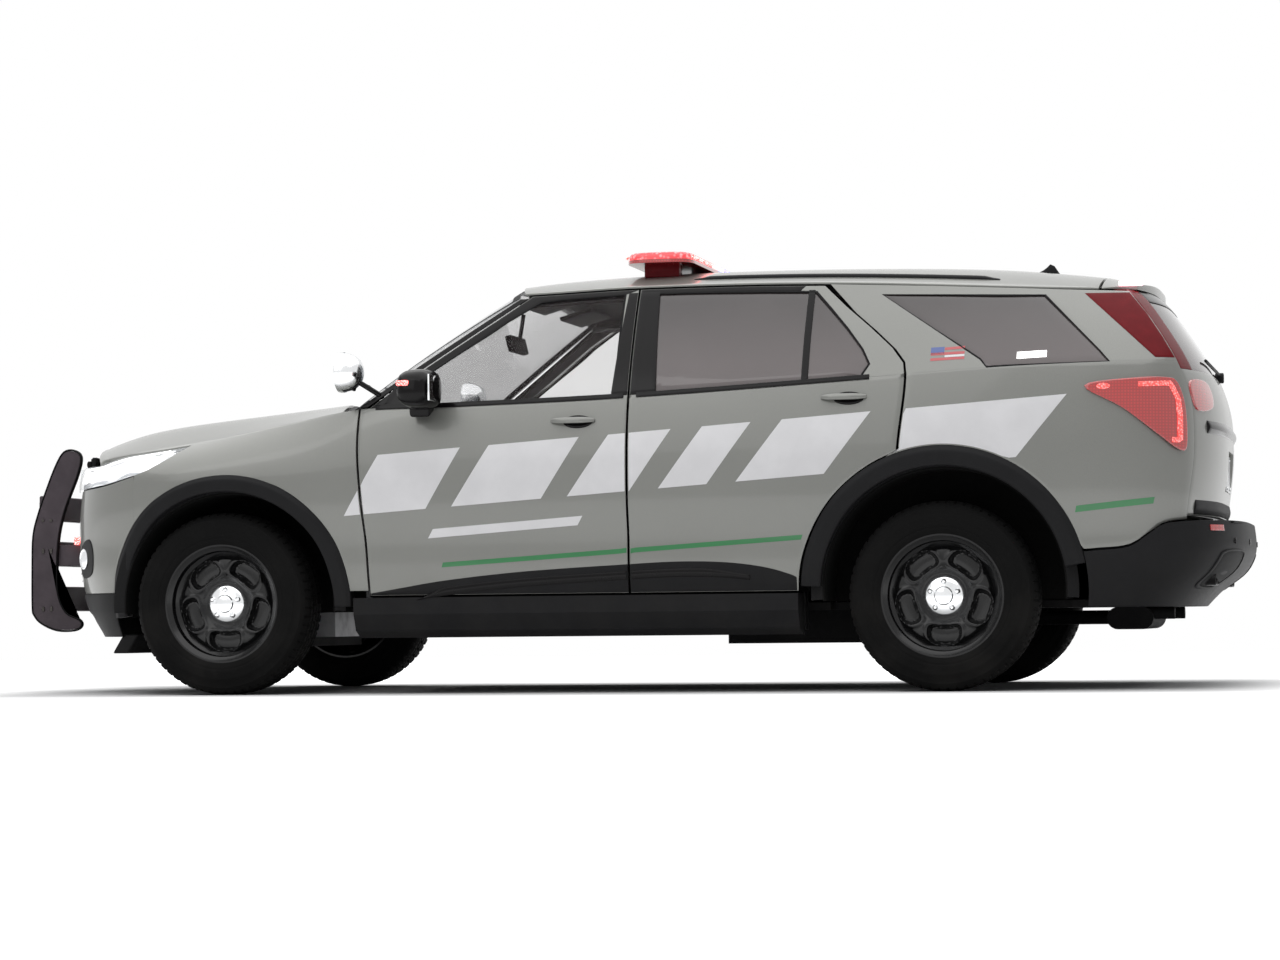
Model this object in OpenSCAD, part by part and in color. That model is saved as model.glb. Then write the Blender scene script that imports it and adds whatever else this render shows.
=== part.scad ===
// Police sport utility vehicle: hollow body of separate panels on four road wheels.
// Frame: x rearward, y to the right, z up, millimetres. Pieces are drawn with x = 0 at the
// front axle, and placed() moves the whole vehicle so that x = 0 is the middle of its length.

/* [Chassis] */
// Distance between the front and rear axles
wheelbase = 3025; // [2950:5:3100]
// Distance between the middles of the left and right tyres
track = 1702; // [1670:2:1730]
// Outer radius of a tyre
tyre_r = 381; // [370:1:390]
// Width of a tyre over its sidewalls
tyre_w = 250; // [230:2:260]
// Radius of the wheel's outer flange
rim_r = 247; // [235:1:252]
// Radius of a wheel spindle
spindle_r = 24; // [18:1:28]
// Running clearance between a spindle and its hub bore
spindle_gap = 0.05; // [0.02:0.01:0.1]
// Distance of the steering axis inboard of the tyre's middle
king_offset = 50; // [45:1:55]

/* [Body] */
// Width of the body at its waist
body_w = 2004; // [1980:2:2030]
// Height of the waist, where the body is widest
waist_z = 880; // [840:5:920]
// Length of the body in front of the front axle
front_overhang = 870; // [840:5:900]
// Length of the body behind the rear axle, to the bumper
rear_overhang = 1180; // [1160:5:1220]
// Distance from the tailgate to the rear end of the bumper
bumper_step = 85; // [70:1:100]
// Height of the roof's middle line over its highest point
roof_crown = 1776; // [1740:2:1800]
// Height of the jacking pads' faces over the ground
jack_z = 250; // [235:1:290]
// Height of the doors' lower edge
door_z0 = 408; // [395:1:420]
// Place of the joint line between front and rear doors
door_split_x = 1750; // [1730:1:1770]
// Width of the joint lines around the doors, bonnet and tailgate
shut_gap = 10; // [9:0.5:12]
// Thickness of a door below its window
door_t = 90; // [70:1:100]
// Thickness of a door's window frame
frame_t = 40; // [30:1:50]
// Thickness of fixed outer panels
panel_t = 22; // [15:1:30]
// Thickness of window glass
glass_t = 5; // [4:0.5:7]
// Gap between pieces that are fitted to each other
fit_gap = 0.4; // [0.3:0.1:0.8]

/* [Arches] */
// Radius of the front wheel opening
front_arch_r = 465; // [455:1:475]
// Radius of the rear wheel opening
rear_arch_r = 492; // [480:1:505]
// Distance of the front opening's middle behind the axle
front_arch_shift = 28; // [15:1:32]
// Height of the rear opening's middle over the axle
rear_arch_lift = 24; // [15:1:30]
// Width of the black trim around a front opening
front_trim_w = 72; // [60:1:80]
// Width of the black trim around a rear opening
rear_trim_w = 83; // [70:1:90]
// Distance that the arch trim stands out of the side
arch_trim_out = 14; // [8:1:20]

/* [Equipment] */
// Distance that the push bumper reaches in front of the body
push_reach = 222; // [200:2:240]
// Distance between the push bumper's uprights
push_span = 700; // [640:10:760]
// Length of the light bar across the roof
bar_l = 1180; // [1100:10:1260]
// Depth of the light bar along the vehicle
bar_d = 285; // [250:5:310]
// Diameter of a spot lamp
spot_d = 168; // [150:2:180]

/* [Number plate] */
// Distance between the plate's screw holes across the vehicle
plate_hole_y = 178; // [170:1:185]
// Distance between the plate's screw holes in height
plate_hole_z = 121; // [110:1:130]
// Radius of a plate screw hole
plate_hole_r = 3.5; // [3:0.1:4]

/* [Hidden] */
$fn = 64;

paint = [0.53, 0.54, 0.51];
trim_black = [0.12, 0.12, 0.13];
tint = [0.25, 0.24, 0.25, 0.6];

nose_x = -front_overhang;
bumper_x = wheelbase + rear_overhang;
gate_x = bumper_x - bumper_step;
front_end = nose_x - push_reach;
x_mid = (front_end + bumper_x) / 2;
half_gap = shut_gap / 2;
front_trim_r = front_arch_r + front_trim_w;
rear_trim_r = rear_arch_r + rear_trim_w;
front_arch = [front_arch_shift, tyre_r];
rear_arch = [wheelbase + 5, tyre_r + rear_arch_lift];
king_y = track / 2 - king_offset;

// Plan curves: the nose and the tail are superellipses that start at these places
nose_c = nose_x + 770;
nose_p = 2.5;
tail_c = wheelbase + 475;
tail_p = 3.5;
// Inset of the side at the sills, and depth and height of the hollow in the lower doors
sill_inset = 42;
sculpt_in = 12;
sculpt_z = 640;
sculpt_h = 150;
// Outward bow of the side windows
window_bow = 16;
// Forward shift of a door's inner face, so that its rear edge swings clear
door_slant = 14;

// Belt line columns: x, height, inset from the waist
belt_line = [[-600, 1005, 118], [-160, 1052, 126], [250, 1125, 118], [600, 1180, 70],
  [950, 1186, 52], [1750, 1208, 50], [2720, 1258, 50], [3250, 1288, 54], [3720, 1300, 60],
  [4060, 1302, 62]];
// Roof rail columns: x, height, half width
rail_line = [[600, 1640, 690], [1250, 1640, 708], [1750, 1654, 722], [2500, 1648, 720],
  [3430, 1604, 690], [3760, 1590, 668], [4060, 1570, 640]];
// Roof middle columns: x, drop below the crown height
roof_line = [[1120, 52], [1320, 26], [1600, 10], [1950, 0], [2550, 2], [3150, 22], [3500, 56],
  [3780, 96]];
// Bonnet middle columns: x, height
hood_line = [[-800, 1068], [-700, 1108], [-450, 1160], [-190, 1192], [250, 1226], [420, 1238]];

// Small functions
function clamp(v, lo, hi) = min(max(v, lo), hi);
function mix(a, b, t) = a + (b - a) * t;
function ease(t) = let (c = clamp(t, 0, 1)) c * c * (3 - 2 * c);
function last(v) = v[len(v) - 1];
function reversed(v) = [for (i = [len(v) - 1:-1:0]) v[i]];
function steps(n) = [for (i = [0:n]) i / n];
// Smooth curve through a table: column c as a function of column 0
function table_row(x, t, i = 0) = i >= len(t) - 2 || x < t[i + 1][0] ? i : table_row(x, t, i + 1);
function table_slope(t, i, c) = let (a = max(i - 1, 0), b = min(i + 1, len(t) - 1))
  (t[b][c] - t[a][c]) / (t[b][0] - t[a][0]);
function curve(x, t, c = 1) = let (i = table_row(x, t), h = t[i + 1][0] - t[i][0],
  u = clamp((x - t[i][0]) / h, 0, 1), m0 = table_slope(t, i, c) * h, m1 = table_slope(t, i + 1, c) * h)
  t[i][c] * (2 * u^3 - 3 * u^2 + 1) + m0 * (u^3 - 2 * u^2 + u)
  + t[i + 1][c] * (3 * u^2 - 2 * u^3) + m1 * (u^3 - u^2);

// Body form: half width of the side at a place x and height z
function nose_plan(x) = x >= nose_c ? 1
  : (1 - min((nose_c - x) / (nose_c - nose_x), 0.999)^nose_p)^(1 / nose_p);
function tail_plan(x, end = gate_x) = x <= tail_c ? 1
  : (1 - min((x - tail_c) / (end - tail_c), 0.999)^tail_p)^(1 / tail_p);
function waist_w(x) = body_w / 2 * nose_plan(x) * tail_plan(x);
function belt_z(x) = curve(x, belt_line, 1);
function belt_w(x) = waist_w(x) - curve(x, belt_line, 2);
function rail_z(x) = curve(x, rail_line, 1);
function rail_w(x) = curve(x, rail_line, 2) * mix(1, tail_plan(x), 0.5);
function low_inset(z) = let (s = clamp((waist_z - z) / (waist_z - door_z0), 0, 1.3))
  sill_inset * s^2 + sculpt_in * (1 - ease(abs(z - sculpt_z) / sculpt_h));
function side_w(x, z) = z <= waist_z ? waist_w(x) - low_inset(z)
  : z <= belt_z(x) ? waist_w(x) - (waist_w(x) - belt_w(x)) * ((z - waist_z) / (belt_z(x) - waist_z))^2.2
  : let (u = (z - belt_z(x)) / (rail_z(x) - belt_z(x)))
    mix(belt_w(x), rail_w(x), u) + window_bow * 4 * u * (1 - u);
function side(p) = [p[0], side_w(p[0], p[1]), p[1]];
function roof_mid(x) = roof_crown - curve(x, roof_line);
// Body form: place of the nose and tail surfaces at a half width y
function nose_at(y) = nose_c - (nose_c - nose_x) * (1 - min(abs(y) / (body_w / 2),
  0.999)^nose_p)^(1 / nose_p);
function tail_at(y, end) = tail_c + (end - tail_c) * (1 - min(abs(y) / (body_w / 2),
  0.999)^tail_p)^(1 / tail_p);

// Shape builders
module placed() translate([-x_mid, 0, 0]) children();
module both_sides() { children(); mirror([0, 1, 0]) children(); }
function cells(grid, off = 0) = let (nc = len(grid[0]))
  [for (r = [0:len(grid) - 2], c = [0:nc - 2], k = [0, 1]) let (a = off + r * nc + c)
    k == 0 ? [a, a + 1, a + nc + 1] : [a, a + nc + 1, a + nc]];
function edge_loop(g) = let (nr = len(g), nc = len(g[0])) concat(
  g[0], [for (r = [1:nr - 1]) g[r][nc - 1]], [for (c = [nc - 2:-1:0]) g[nr - 1][c]],
  [for (r = [nr - 2:-1:1]) g[r][0]]);
// A closed solid from outer surface grids, the loops around their free edges, and an inward shift
module skin(grids, loops, inward) {
  flat = [for (g = grids) [for (row = g) for (p = row) p]];
  starts = [for (i = 0, s = 0; i < len(flat); s = s + len(flat[i]), i = i + 1) s];
  outer = [for (f = flat) for (p = f) p];
  n = len(outer);
  rim = [for (l = loops) for (p = l) p];
  rim_starts = [for (i = 0, s = 0; i < len(loops); s = s + len(loops[i]), i = i + 1) s];
  front = [for (i = [0:len(grids) - 1]) for (t = cells(grids[i], starts[i])) t];
  back = [for (t = front) [t[2] + n, t[1] + n, t[0] + n]];
  walls = [for (i = [0:len(loops) - 1]) let (m = len(loops[i]), o = 2 * n + rim_starts[i], q = o + len(rim))
    for (k = [0:m - 1], h = [0, 1]) let (j = (k + 1) % m)
      h == 0 ? [o + j, o + k, q + k] : [o + j, q + k, q + j]];
  polyhedron(concat(outer, [for (p = outer) p + inward(p)], rim, [for (p = rim) p + inward(p)]),
    concat(front, back, walls));
}
module panel(grid, inward) skin([grid], [edge_loop(grid)], inward);
// A panel with a window: a lower grid, and a frame strip of rows from its outer to its inner edge.
// The strip starts on the grid's top row at column a and ends at that row's last columns.
module windowed_panel(g, a, strip, inward) {
  top = last(g);
  nc = len(top);
  m = len(strip[0]);
  outer = concat(g[0], [for (r = [1:len(g) - 1]) g[r][nc - 1]],
    [for (k = [len(strip) - 2:-1:1]) strip[k][0]], [for (c = [a:-1:0]) top[c]],
    [for (r = [len(g) - 2:-1:1]) g[r][0]]);
  skin([g, strip], [outer, reversed(window_loop(g, a, strip))], inward);
}
function window_loop(g, a, strip) = let (top = last(g), nc = len(top), m = len(strip[0])) concat(
  [for (k = [len(strip) - 2:-1:1]) strip[k][m - 1]], [for (c = [a + m - 1:nc - m]) top[c]]);
// A pane that fills a loop of points, from rings that shrink to its middle
module pane(loop, lift, inward) {
  n = len(loop);
  mid = [for (k = [0, 1]) let (v = [for (p = loop) p[k]]) (min(v) + max(v)) / 2];
  rings = [1, 0.68, 0.34];
  grid = [for (s = rings) [for (i = [0:n]) lift(mix(mid, loop[i % n], s))]];
  pts = concat([for (r = grid) for (p = r) p], [lift(mid)]);
  m = len(pts);
  centre = m - 1;
  front = concat(cells(grid), [for (i = [0:n - 1]) let (o = (len(rings) - 1) * (n + 1)) [o + i,
    o + i + 1, centre]]);
  walls = [for (i = [0:n - 1], h = [0, 1]) h == 0 ? [i + 1, i, i + m] : [i + 1, i + m, i + 1 + m]];
  polyhedron(concat(pts, [for (p = pts) p + inward(p)]),
    concat(front, [for (t = front) [t[2] + m, t[1] + m, t[0] + m]], walls));
}
// A straight beam of rectangular section between two points
module beam(p, q, wx, wy, wz) hull() {
  translate(p) cube([wx, wy, wz], center = true);
  translate(q) cube([wx, wy, wz], center = true);
}

// Joint lines in the side view
// Front door front edge columns: height, x
front_shut = [[400, 648], [567, 641], [997, 606], [1220, 600]];
// Rear door rear edge columns: height, x from the rear axle
rear_shut = [[900, -168], [967, -168], [1266, -138], [1355, -169], [1640, -485]];
// Tailgate middle columns: height, x from the rear axle
gate_line = [[690, 1060], [743, 1067], [900, 1088], [1015, 1092], [1150, 1082], [1300, 1032],
  [1450, 945], [1600, 832], [1690, 700]];
// Forward set of the tailgate's side edge from its middle
gate_drop = 100;
door_rows = [0, 0.12, 0.26, 0.4, 0.47, 0.52, 0.56, 0.6, 0.64, 0.76, 0.88, 1];
// Height of a door frame's top edge and of the roof's edge over the rail line
frame_over = 8;
roof_over = 24;
roof_edge_t = 8;
// Height of the fixed sides' top edge over the rail line, under the roof's edge
quarter_over = roof_over - roof_edge_t - fit_gap;
window_under = 10;
// Width of a door's frame beside its window
frame_w = 50;
function front_shut_x(z) = curve(z, front_shut);
function arch_x(c, r, z, way) = c[0] + way * sqrt(max(r^2 - (z - c[1])^2, 1));
function rear_shut_x(z) = min(wheelbase + curve(z, rear_shut),
  z > rear_arch[1] + rear_trim_r - 20 ? 9999 : arch_x(rear_arch, rear_trim_r + half_gap, z, -1));
function gate_mid(z) = wheelbase + curve(z, gate_line);
function gate_edge_x(z) = gate_mid(z) - gate_drop;
function gate_w(z) = side_w(gate_edge_x(z), z);
function arch_at(c, r, a) = [c[0] + r * cos(a), c[1] + r * sin(a)];

// Front pillar: the windscreen's side edge and the door's leading edge, t = 0 at the belt
pillar_z0 = 1188;
pillar_z1 = 1640;
screen_x0 = 600;
screen_x1 = 1236;
pillar_w = 34;
function pillar_z(t) = mix(pillar_z0, pillar_z1, t);
function screen_x(t) = mix(screen_x0, screen_x1, t);
function door_lead_x(t) = screen_x(t) + pillar_w + shut_gap;

// Doors: a lower panel and a frame around the window
function door_inward(p) = let (z = p[2], u = ease((z - belt_z(p[0]) + 90) / 100))
  [-door_slant, -mix(door_t, frame_t, u), 0];
front_door_cols = [0, 0.034, 0.078, 0.19, 0.32, 0.45, 0.58, 0.71, 0.84, 1 - frame_w / 1140, 1];
rear_door_cols = [0, frame_w / 1132, 0.17, 0.3, 0.43, 0.56, 0.7, 0.845, 1];
function door_grid(rows, cols, x0, x1) = [for (t = rows) [for (s = cols)
  let (zg = mix(door_z0, belt_z(mix(x0(1000), x1(1000), s)), t), x = mix(x0(zg), x1(zg), s))
  side([x, mix(door_z0, belt_z(x), t)])]];
front_x0 = function(z) front_shut_x(z) + half_gap;
front_x1 = function(z) door_split_x - half_gap;
rear_x0 = function(z) door_split_x + half_gap;
rear_x1 = function(z) rear_shut_x(z) - half_gap;
front_grid = door_grid(door_rows, front_door_cols, front_x0, front_x1);
rear_grid = door_grid(door_rows, rear_door_cols, rear_x0, rear_x1);
function frame_pair(o, i, m = 2) = [for (k = [0:m - 1]) side(mix(o, i, k / (m - 1)))];
front_strip = let (top = last(front_grid), n = len(front_door_cols), xb = door_split_x - half_gap) concat(
  [[top[1], top[2]]],
  [for (t = [0.2, 0.4, 0.6, 0.8]) frame_pair([door_lead_x(t), pillar_z(t)], [door_lead_x(t) + 42,
    pillar_z(t) - 6])],
  [let (x = door_lead_x(1) + 8) frame_pair([x, rail_z(x) + frame_over], [x + 48,
    rail_z(x) - window_under - 4])],
  [for (x = [1420, 1530, 1630]) frame_pair([x, rail_z(x) + frame_over], [x, rail_z(x) - window_under])],
  [frame_pair([xb, rail_z(xb) + frame_over], [xb - frame_w, rail_z(xb) - window_under])],
  [for (t = [0.75, 0.5, 0.25]) let (z = mix(belt_z(xb), rail_z(xb), t)) frame_pair([xb, z],
    [xb - frame_w, z])],
  [[top[n - 1], top[n - 2]]]);
// Rear edge of the rear door's window columns: height, x from the rear axle
rear_pane_edge = [[1262, -312], [1303, -284], [1345, -292], [1500, -408], [1632, -528]];
rear_strip = let (top = last(rear_grid), n = len(rear_door_cols), xb = door_split_x + half_gap) concat(
  [[top[0], top[1]]],
  [for (t = [0.25, 0.5, 0.75]) let (z = mix(belt_z(xb), rail_z(xb), t)) frame_pair([xb, z],
    [xb + frame_w, z])],
  [frame_pair([xb, rail_z(xb) + frame_over], [xb + frame_w, rail_z(xb) - window_under])],
  [for (x = [1950, 2120, 2290]) frame_pair([x, rail_z(x) + frame_over], [x, rail_z(x) - window_under])],
  [let (z = rail_z(2520) + frame_over) frame_pair([rear_shut_x(1640) - 14, z],
    [wheelbase + curve(1632, rear_pane_edge), 1634])],
  [for (z = [1560, 1470, 1380, 1315]) frame_pair([rear_shut_x(z) - half_gap, z], [wheelbase + curve(z,
    rear_pane_edge), z])],
  [[top[n - 1], top[n - 2]]]);
module front_door_shell() windowed_panel(front_grid, 1, front_strip, function(p) door_inward(p));
module rear_door_shell() windowed_panel(rear_grid, 0, rear_strip, function(p) door_inward(p));
// A door's glass fills the window a small way in from its outer face
glass_in = 0.3;
module door_glass(loop) let (flat = [for (p = loop) [p[0], p[2]]],
  mid = [for (k = [0, 1]) let (v = [for (p = flat) p[k]]) (min(v) + max(v)) / 2])
  pane([for (p = flat) p + (mid - p) / norm(mid - p) * 2 * fit_gap],
    function(p) let (q = side(p)) q + door_inward([p[0], 0, 1500]) * glass_in,
    function(p) door_inward([p[0], 0, 1500]) / frame_t * glass_t);

// Fixed sides behind the doors
quarter_cols = [0, 0.1, 0.2, 0.3, 0.38, 0.45, 0.51, 0.57, 0.62, 0.66, 0.76, 0.84, 0.92, 1];
post_cols = 4;
quarter_rows = [0, 0.02, 0.07, 0.2, 0.4, 0.6, 0.8, 1];
// Lower edge columns behind the wheel: x from the rear axle, height
bumper_seam = [[520, 552], [620, 558], [745, 572], [830, 625], [890, 660], [1100, 676]];
function quarter_low_z(x) = let (d = x - rear_arch[0], r = rear_trim_r + fit_gap)
  max(abs(d) < r ? rear_arch[1] + sqrt(r^2 - d^2) : 0, x > rear_arch[0] ? curve(x - wheelbase,
    bumper_seam) + half_gap : 0);
quarter_top = [for (s = quarter_cols) let (x = mix(rear_shut_x(1268) + half_gap, gate_edge_x(1300),
  s)) [x, belt_z(x)]];
quarter_low = [for (s = quarter_cols) let (x = mix(rear_shut_x(940) + half_gap, gate_edge_x(700), s)) [x,
  quarter_low_z(x)]];
quarter_front = [for (t = quarter_rows) let (z = mix(quarter_low[0][1], quarter_top[0][1], t))
  [t == 0 ? quarter_low[0][0] : rear_shut_x(z) + half_gap, z]];
quarter_rear = [for (t = quarter_rows) let (z = mix(last(quarter_low)[1], last(quarter_top)[1],
  t)) [gate_edge_x(z), z]];
function coons(b, t, f, r) = let (nc = len(b), nr = len(f)) [for (j = [0:nr - 1]) [for (i = [0:nc - 1])
  let (u = i / (nc - 1), v = j / (nr - 1))
  mix(b[i], t[i], v) + mix(f[j], r[j], u) - mix(mix(b[0], last(b), u), mix(t[0], last(t), u), v)]];
quarter_grid = [for (row = coons(quarter_low, quarter_top, quarter_front,
  quarter_rear)) [for (p = row) side(p)]];
// Rear side window: places of its corners from the rear axle
pane_low_front = [196, 1294];
pane_top_front = [-262, 1612];
pane_top_rear = [402, 1594];
pane_low_rear = [678, 1303];
function aft(p) = [wheelbase + p[0], p[1]];
quarter_strip = let (top = last(quarter_grid), n = len(quarter_cols), m = post_cols) concat(
  [[for (k = [0:m - 1]) top[k]]],
  [for (t = [0.08, 0.25, 0.5, 0.75]) let (q = aft(mix(pane_low_front, pane_top_front, t)))
    frame_pair([rear_shut_x(q[1]) + half_gap, q[1]], q, m)],
  [frame_pair([rear_shut_x(1640) + half_gap + 4, rail_z(2560) + quarter_over], aft(pane_top_front), m)],
  [for (t = [0.25, 0.5, 0.75]) let (q = aft(mix(pane_top_front, pane_top_rear, t)))
    frame_pair([q[0] + 40, rail_z(q[0] + 40) + quarter_over], q, m)],
  [let (x = wheelbase + 470) frame_pair([x, rail_z(x) + quarter_over - 2], aft(pane_top_rear), m)],
  [let (z = 1592) frame_pair([gate_edge_x(z) - 8, z + 10], aft(mix(pane_top_rear, pane_low_rear, 0.2)), m)],
  [for (t = [0.36, 0.6, 0.84]) let (q = aft(mix(pane_top_rear, pane_low_rear, t)))
    frame_pair([gate_edge_x(q[1]), q[1]], q, m)],
  [[for (k = [0:m - 1]) top[n - 1 - k]]]);
quarter_t = 40;
quarter_edge_t = 5;
function quarter_inward(p) = [-20 * ease((p[0] - tail_c) / 500),
  -mix(quarter_t, quarter_edge_t, ease((p[0] - gate_edge_x(p[2])) / 160 + 1)), 0];
module quarter_panel() windowed_panel(quarter_grid, 0, quarter_strip, function(p) quarter_inward(p));
module quarter_panels() color(paint) both_sides() quarter_panel();
module quarter_glass() color(tint) both_sides()
  let (loop = [for (p = window_loop(quarter_grid, 0, quarter_strip)) [p[0], p[2]]],
    mid = [for (k = [0, 1]) let (v = [for (p = loop) p[k]]) (min(v) + max(v)) / 2])
  pane([for (p = loop) p + (mid - p) / norm(mid - p) * 2 * fit_gap],
    function(p) side(p) + quarter_inward(side(p)) * glass_in,
    function(p) quarter_inward(p) / quarter_t * glass_t);

// Front sides
fender_x0 = -385;
fender_z0 = 428;
fender_cols = 16;
// Headlamp lower edge columns: x, height
lamp_low = [[-830, 872], [-579, 884], [-460, 905], [-320, 948], [-165, 1044]];
function fender_top_z(x) = x < -165 ? curve(x, lamp_low) - fit_gap : belt_z(x);
fender_r = front_trim_r + fit_gap;
fender_a0 = acos((fender_x0 - front_arch[0]) / fender_r);
fender_a1 = asin((fender_z0 - front_arch[1]) / fender_r);
fender_low = [for (t = steps(fender_cols)) arch_at(front_arch, fender_r, mix(fender_a0, fender_a1, t))];
fender_top = [for (t = steps(fender_cols)) let (x = mix(fender_x0, front_shut_x(1178) - half_gap, t)) [x,
  fender_top_z(x)]];
fender_rows = [0, 0.08, 0.2, 0.34, 0.48, 0.62, 0.76, 0.88, 1];
fender_front = [for (t = steps(len(fender_rows) - 1)) [fender_x0, mix(fender_low[0][1], fender_top[0][1],
  t)]];
fender_rear = [for (t = fender_rows) let (z = mix(fender_z0, last(fender_top)[1], max(t - 0.08, 0) / 0.92))
  t == 0 ? last(fender_low) : [front_shut_x(z) - half_gap, z]];
fender_grid = [for (row = coons(fender_low, fender_top, fender_front,
  fender_rear)) [for (p = row) side(p)]];
// The top edge turns down, away from the bonnet's edge
fender_lip = 3;
function fender_inward(p) = let (u = ease((p[2] - belt_z(p[0])) / 60 + 1))
  [0, -mix(panel_t, fender_lip, u), -panel_t * u];
module fender() panel(fender_grid, function(p) fender_inward(p));
module fenders() color(paint) both_sides() fender();

// Bonnet
hood_corner_x = -588;
hood_back = [392, 520];
hood_lip = 75;
hood_t = 24;
function hood_y(x) = belt_w(x) - shut_gap;
function hood_front_x(s) = let (y = s * hood_y(hood_corner_x),
  e = nose_at(hood_y(hood_corner_x)) + hood_lip)
  nose_at(y) + hood_lip + (hood_corner_x - e) * s^2;
function hood_x(t, s) = mix(hood_front_x(s), mix(hood_back[0], hood_back[1], s^2), t);
function hood_at(t, s) = let (x = hood_x(t, s), zc = curve(x, hood_line))
  [x, s * hood_y(x), zc - (zc - belt_z(x)) * abs(s)^2.6];
hood_spread = [-1, -0.96, -0.88, -0.76, -0.6, -0.4, -0.2, 0, 0.2, 0.4, 0.6, 0.76, 0.88, 0.96, 1];
hood_rows = [0, 0.03, 0.08, 0.16, 0.3, 0.45, 0.6, 0.8, 1];
module hood() color(paint) panel([for (t = hood_rows) [for (s = hood_spread) hood_at(t, s)]],
  function(p) [hood_t * 0.3 * (1 - ease((p[0] + 800) / 300)), 0, -hood_t]);

// Windscreen, cowl and roof
screen_mid = [[472, 1228], [1152, 1724]];
screen_bow = 30;
function screen_at(t, s) = let (z = pillar_z(t), x = screen_x(t), k = abs(s)^2.4)
  [mix(mix(screen_mid[0][0], screen_mid[1][0], t), x, k) - screen_bow * t * (1 - t),
   s * side_w(x, z), mix(mix(screen_mid[0][1], screen_mid[1][1], t), z, k) + screen_bow * t * (1 - t)];
screen_spread = [-1, -0.94, -0.84, -0.7, -0.5, -0.25, 0, 0.25, 0.5, 0.7, 0.84, 0.94, 1];
screen_rows = [0, 0.2, 0.4, 0.6, 0.8, 1];
screen_edge = 0.979;
module windscreen() color(tint) panel([for (t = screen_rows) [for (s = screen_spread) screen_at(t,
  s * screen_edge)]],
  function(p) [glass_t * 0.44, 0, -glass_t * 0.9]);
cowl_gap = 18;
cowl_t = 22;
function cowl_at(t, s) = let (a = hood_at(1, s) + [cowl_gap, 0, 0],
  b = screen_at(0, s * screen_edge) - [fit_gap, 0, 1], x = mix(a[0], b[0], t))
  [x, s * (belt_w(x) - fender_lip - 0.6), mix(a[2], b[2], t)];
module cowl() color(trim_black) panel([for (t = [0, 0.5, 1]) [for (s = screen_spread) cowl_at(t, s)]],
  function(p) [0, 0, -cowl_t]);
roof_t = 30;
roof_end = wheelbase + 610;
roof_rows = [0, 0.06, 0.14, 0.24, 0.36, 0.5, 0.64, 0.78, 0.9, 1];
function roof_edge_w(x) = side_w(x, rail_z(x) + roof_over);
function roof_at(x, s) = let (e = rail_z(x) + roof_over) [x, s * roof_edge_w(x),
  e + (roof_mid(x) - e) * (1 - abs(s)^2.6)];
function roof_start_x(s) = screen_at(1, s)[0] + 6 + 14 * abs(s)^4;
module roof() color(paint) panel(
  [for (t = roof_rows) [for (s = screen_spread) roof_at(mix(roof_start_x(s), roof_end, t), s)]],
  function(p) [0, 0, -mix(roof_t, roof_edge_t, abs(p[1] / roof_edge_w(p[0]))^8)]);

// Ends of the body: rows around the nose or the tail, a is the turn from straight ahead
function spow(v, e) = sign(v) * abs(v)^e;
// Nose set-back columns: height, x behind the foremost line
nose_form = [[240, 118], [330, 62], [430, 24], [560, 2], [700, 0], [880, 18], [1060, 46]];
function nose_point(a, z) = let (l = nose_c - nose_x - curve(z, nose_form), w = body_w / 2 - low_inset(z))
  [nose_c - l * abs(cos(a))^(2 / nose_p), w * spow(sin(a), 2 / nose_p), z];
function nose_turn(x, z) = acos(((nose_c - x) / (nose_c - nose_x - curve(z, nose_form)))^(nose_p / 2));
nose_half = [0, 0.12, 0.24, 0.34, 0.42, 0.5, 0.56, 0.64, 0.74, 0.84, 0.92, 1];
nose_spread = concat([for (s = reversed(nose_half)) -s], [for (i = [1:len(nose_half) - 1]) nose_half[i]]);
bumper_low_z = 242;
grille_low_z = 700;
grille_half_w = 452;
function bumper_end(z) = nose_turn(min(z < front_arch[1] + front_trim_r - 20
  ? arch_x(front_arch, front_trim_r + fit_gap, z, -1) : 0, fender_x0) - fit_gap, z);
// Height of the front bumper's top edge: under the grille in the middle, under a lamp at the sides
function bumper_top_z(s) = mix(grille_low_z, curve(nose_point(s * bumper_end(860), 860)[0], lamp_low) - 4,
  ease((abs(s) - 0.36) / 0.12));
front_bumper_rows = [0, 0.1, 0.22, 0.36, 0.5, 0.64, 0.78, 0.9, 1];
// Inward shift of a bumper's skin: lengthwise in the middle, sideways at its ends
function bumper_inward(p, way, y0) = let (u = ease((abs(p[1]) - y0) / 280))
  [way * panel_t * (1 - u), -sign(p[1]) * panel_t * u, 0];
module front_bumper_skin() panel(
  [for (t = front_bumper_rows) [for (s = nose_spread) let (z = mix(bumper_low_z, bumper_top_z(s), t))
    nose_point(s * bumper_end(z), z)]], function(p) bumper_inward(p, 1, 600));
module front_bumper() color(paint) difference() {
  front_bumper_skin();
  push_arms(6);
}
grille_top_z = 1030;
grille_bars = 5;
bar_deep = 16;
grille_turn = 22.5;
module grille() color(trim_black) panel(
  [for (i = [0:4 * grille_bars]) let (z = mix(grille_low_z + fit_gap, grille_top_z, i / (4 * grille_bars)))
    [for (s = steps(12)) nose_point(mix(-grille_turn, grille_turn, s), z) + [i % 4 < 2 ? bar_deep : 0, 0,
      0]]],
  function(p) [panel_t + bar_deep, 0, 0]);
lamp_cols = [-818, -806, -780, -735, -670, -590, -500, -400, -290, -170];
lamp_t = 40;
function lamp_top_z(x) = belt_z(x) - hood_t - 6;
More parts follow.
